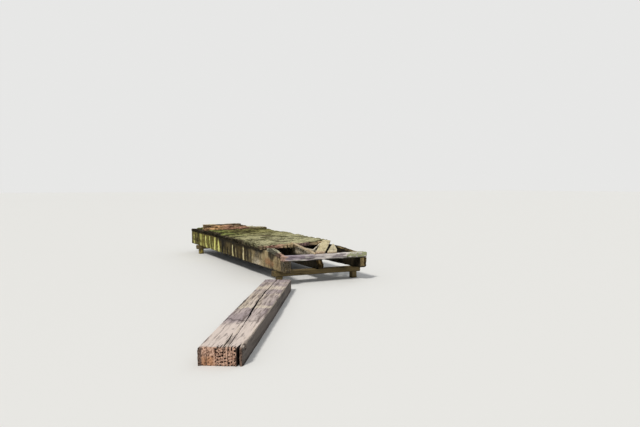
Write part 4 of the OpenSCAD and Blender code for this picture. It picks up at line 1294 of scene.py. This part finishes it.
    # A thin dark line across the top, about 3.18 m along
    dark_cross_line = np.exp(-(((wander - 3.18) / 0.03) ** 2)) * (0.66 - 0.2 * to_right) * (share < 0.85)
    keep_masks(
        piece,
        mid=painted_shadow_bands * (0.86 + 0.3 * drift(own * [3, 9, 1], 326)),
        far=ramp(2.3, 1.7, wander) * (0.5 - 0.3 * to_right),
        # The dark right side holds painted shade as well as its own dark wood
        side=np.maximum(left_side * 0.45, right_side),
    )
    wane = ramp(0.02, 0.006, plank_wide - over) * ramp(-0.4, 0.1, drift(own * [5, 3, 3], 315))
    wane *= ramp(plank_thick - 0.03, plank_thick - 0.006, up)
    keep_masks(piece, wane=np.maximum(wane, 0.75 * lit_bands * top))
    worn_line = run + 0.05 * drift(own * [3, 11, 3], 327) - plank_long
    worn_edge = ramp(-0.075, -0.012, worn_line) * top
    keep_masks(piece, end=most(near_end, far_end, 0.75 * worn_edge))
    orange = ramp(0.62, 0.4, up / plank_thick + 0.2 * drift(own * [1, 12, 12], 322))
    keep_masks(piece, orange=orange * ramp(0.42, 0.3, share) * (share > 0.06))
    dark_left = ramp(0.115, 0.08, share + 0.02 * drift(own * [1, 9, 22], 323))
    keep_masks(piece, end_dark=most(dark_left, ramp(0.9, 0.94, share), far_end * 0.8))
    from_cleft = np.abs(share - 0.875 + 0.02 * drift(own * [1, 9, 16], 324))
    cleft = near_end * ramp(0.05, 0.034, from_cleft)
    knots = np.zeros(len(points))
    for at, place_over, wide in (
        (3.36, 0.205, 0.026), (3.62, 0.205, 0.02), (4.27, 0.462, 0.028), (0.93, 0.468, 0.03)
    ):
        from_knot = np.hypot((run - at) / (wide * 1.9), (over - place_over) / wide)
        knots = np.maximum(knots, ramp(1.1, 0.3, from_knot + 0.35 * drift(own * 60, 328)))
    wet_foot = ramp(0.055, 0.01, up) * np.maximum(left_side, right_side) * 0.5
    # Painted shade: in the split between the halves and along its top edges, and in the deep cleft
    # at the near end. The rotten pockets and pits there are dark from rot, and painted shade.
    keep_masks(
        piece,
        damp=most(
            near_end * pocket * 0.92, 0.95 * seam, 0.92 * cleft, 0.66 * knots * top,
            near_end * pits * 0.45, wet_foot, dark_cross_line * top, 0.9 * by_split
        ),
    )
    dress(piece, plank_wood, node)


# What is left of the wood between the rotten pockets bridges the deep upright ones in places
web_rng = np.random.default_rng(11)
shape = bmesh.new()
for share, wide in ((0.435, 0.011), (0.507, 0.015), (0.596, 0.012), (0.745, 0.012), (0.805, 0.01)):
    up = 0.021 + web_rng.uniform(0, 0.012)
    while up < plank_thick - 0.012:
        back = web_rng.uniform(0.01, 0.02)
        run = plank_long - back - web_rng.uniform(0.003, 0.01)
        middle = plank_start + plank_along * run + plank_side * share * plank_wide
        half = (back, wide / 2 + 0.006, web_rng.uniform(0.006, 0.016))
        to_place = Matrix.Translation((middle[0], middle[1], up))
        to_place = to_place @ Matrix.Rotation(-plank_turn, 4, "Z") @ Matrix.Diagonal((*half, 1))
        web = bmesh.ops.create_cube(shape, size=2, matrix=to_place)
        corners = set(web["verts"])
        edges = [edge for edge in shape.edges if edge.verts[0] in corners]
        bmesh.ops.subdivide_edges(shape, edges=edges, cuts=5, use_grid_fill=True)
        up += half[2] + web_rng.uniform(0.014, 0.03)
piece = new_piece(shape, "end_webs")
points, facing, arris = read_points(piece)
push = drift(points * 90, 331) * 0.0034 + drift(points * 230, 332) * 0.0014 - 0.003 * arris
points += facing * push[:, None]
settle(piece, points, plank_along, plank_side, 72)
keep_masks(
    piece, end=1, mid=0, far=0, side=0, wane=0, orange=0, end_dark=0,
    damp=0.15 + 0.5 * drift(points * 60, 333),
)
dress(piece, plank_wood)
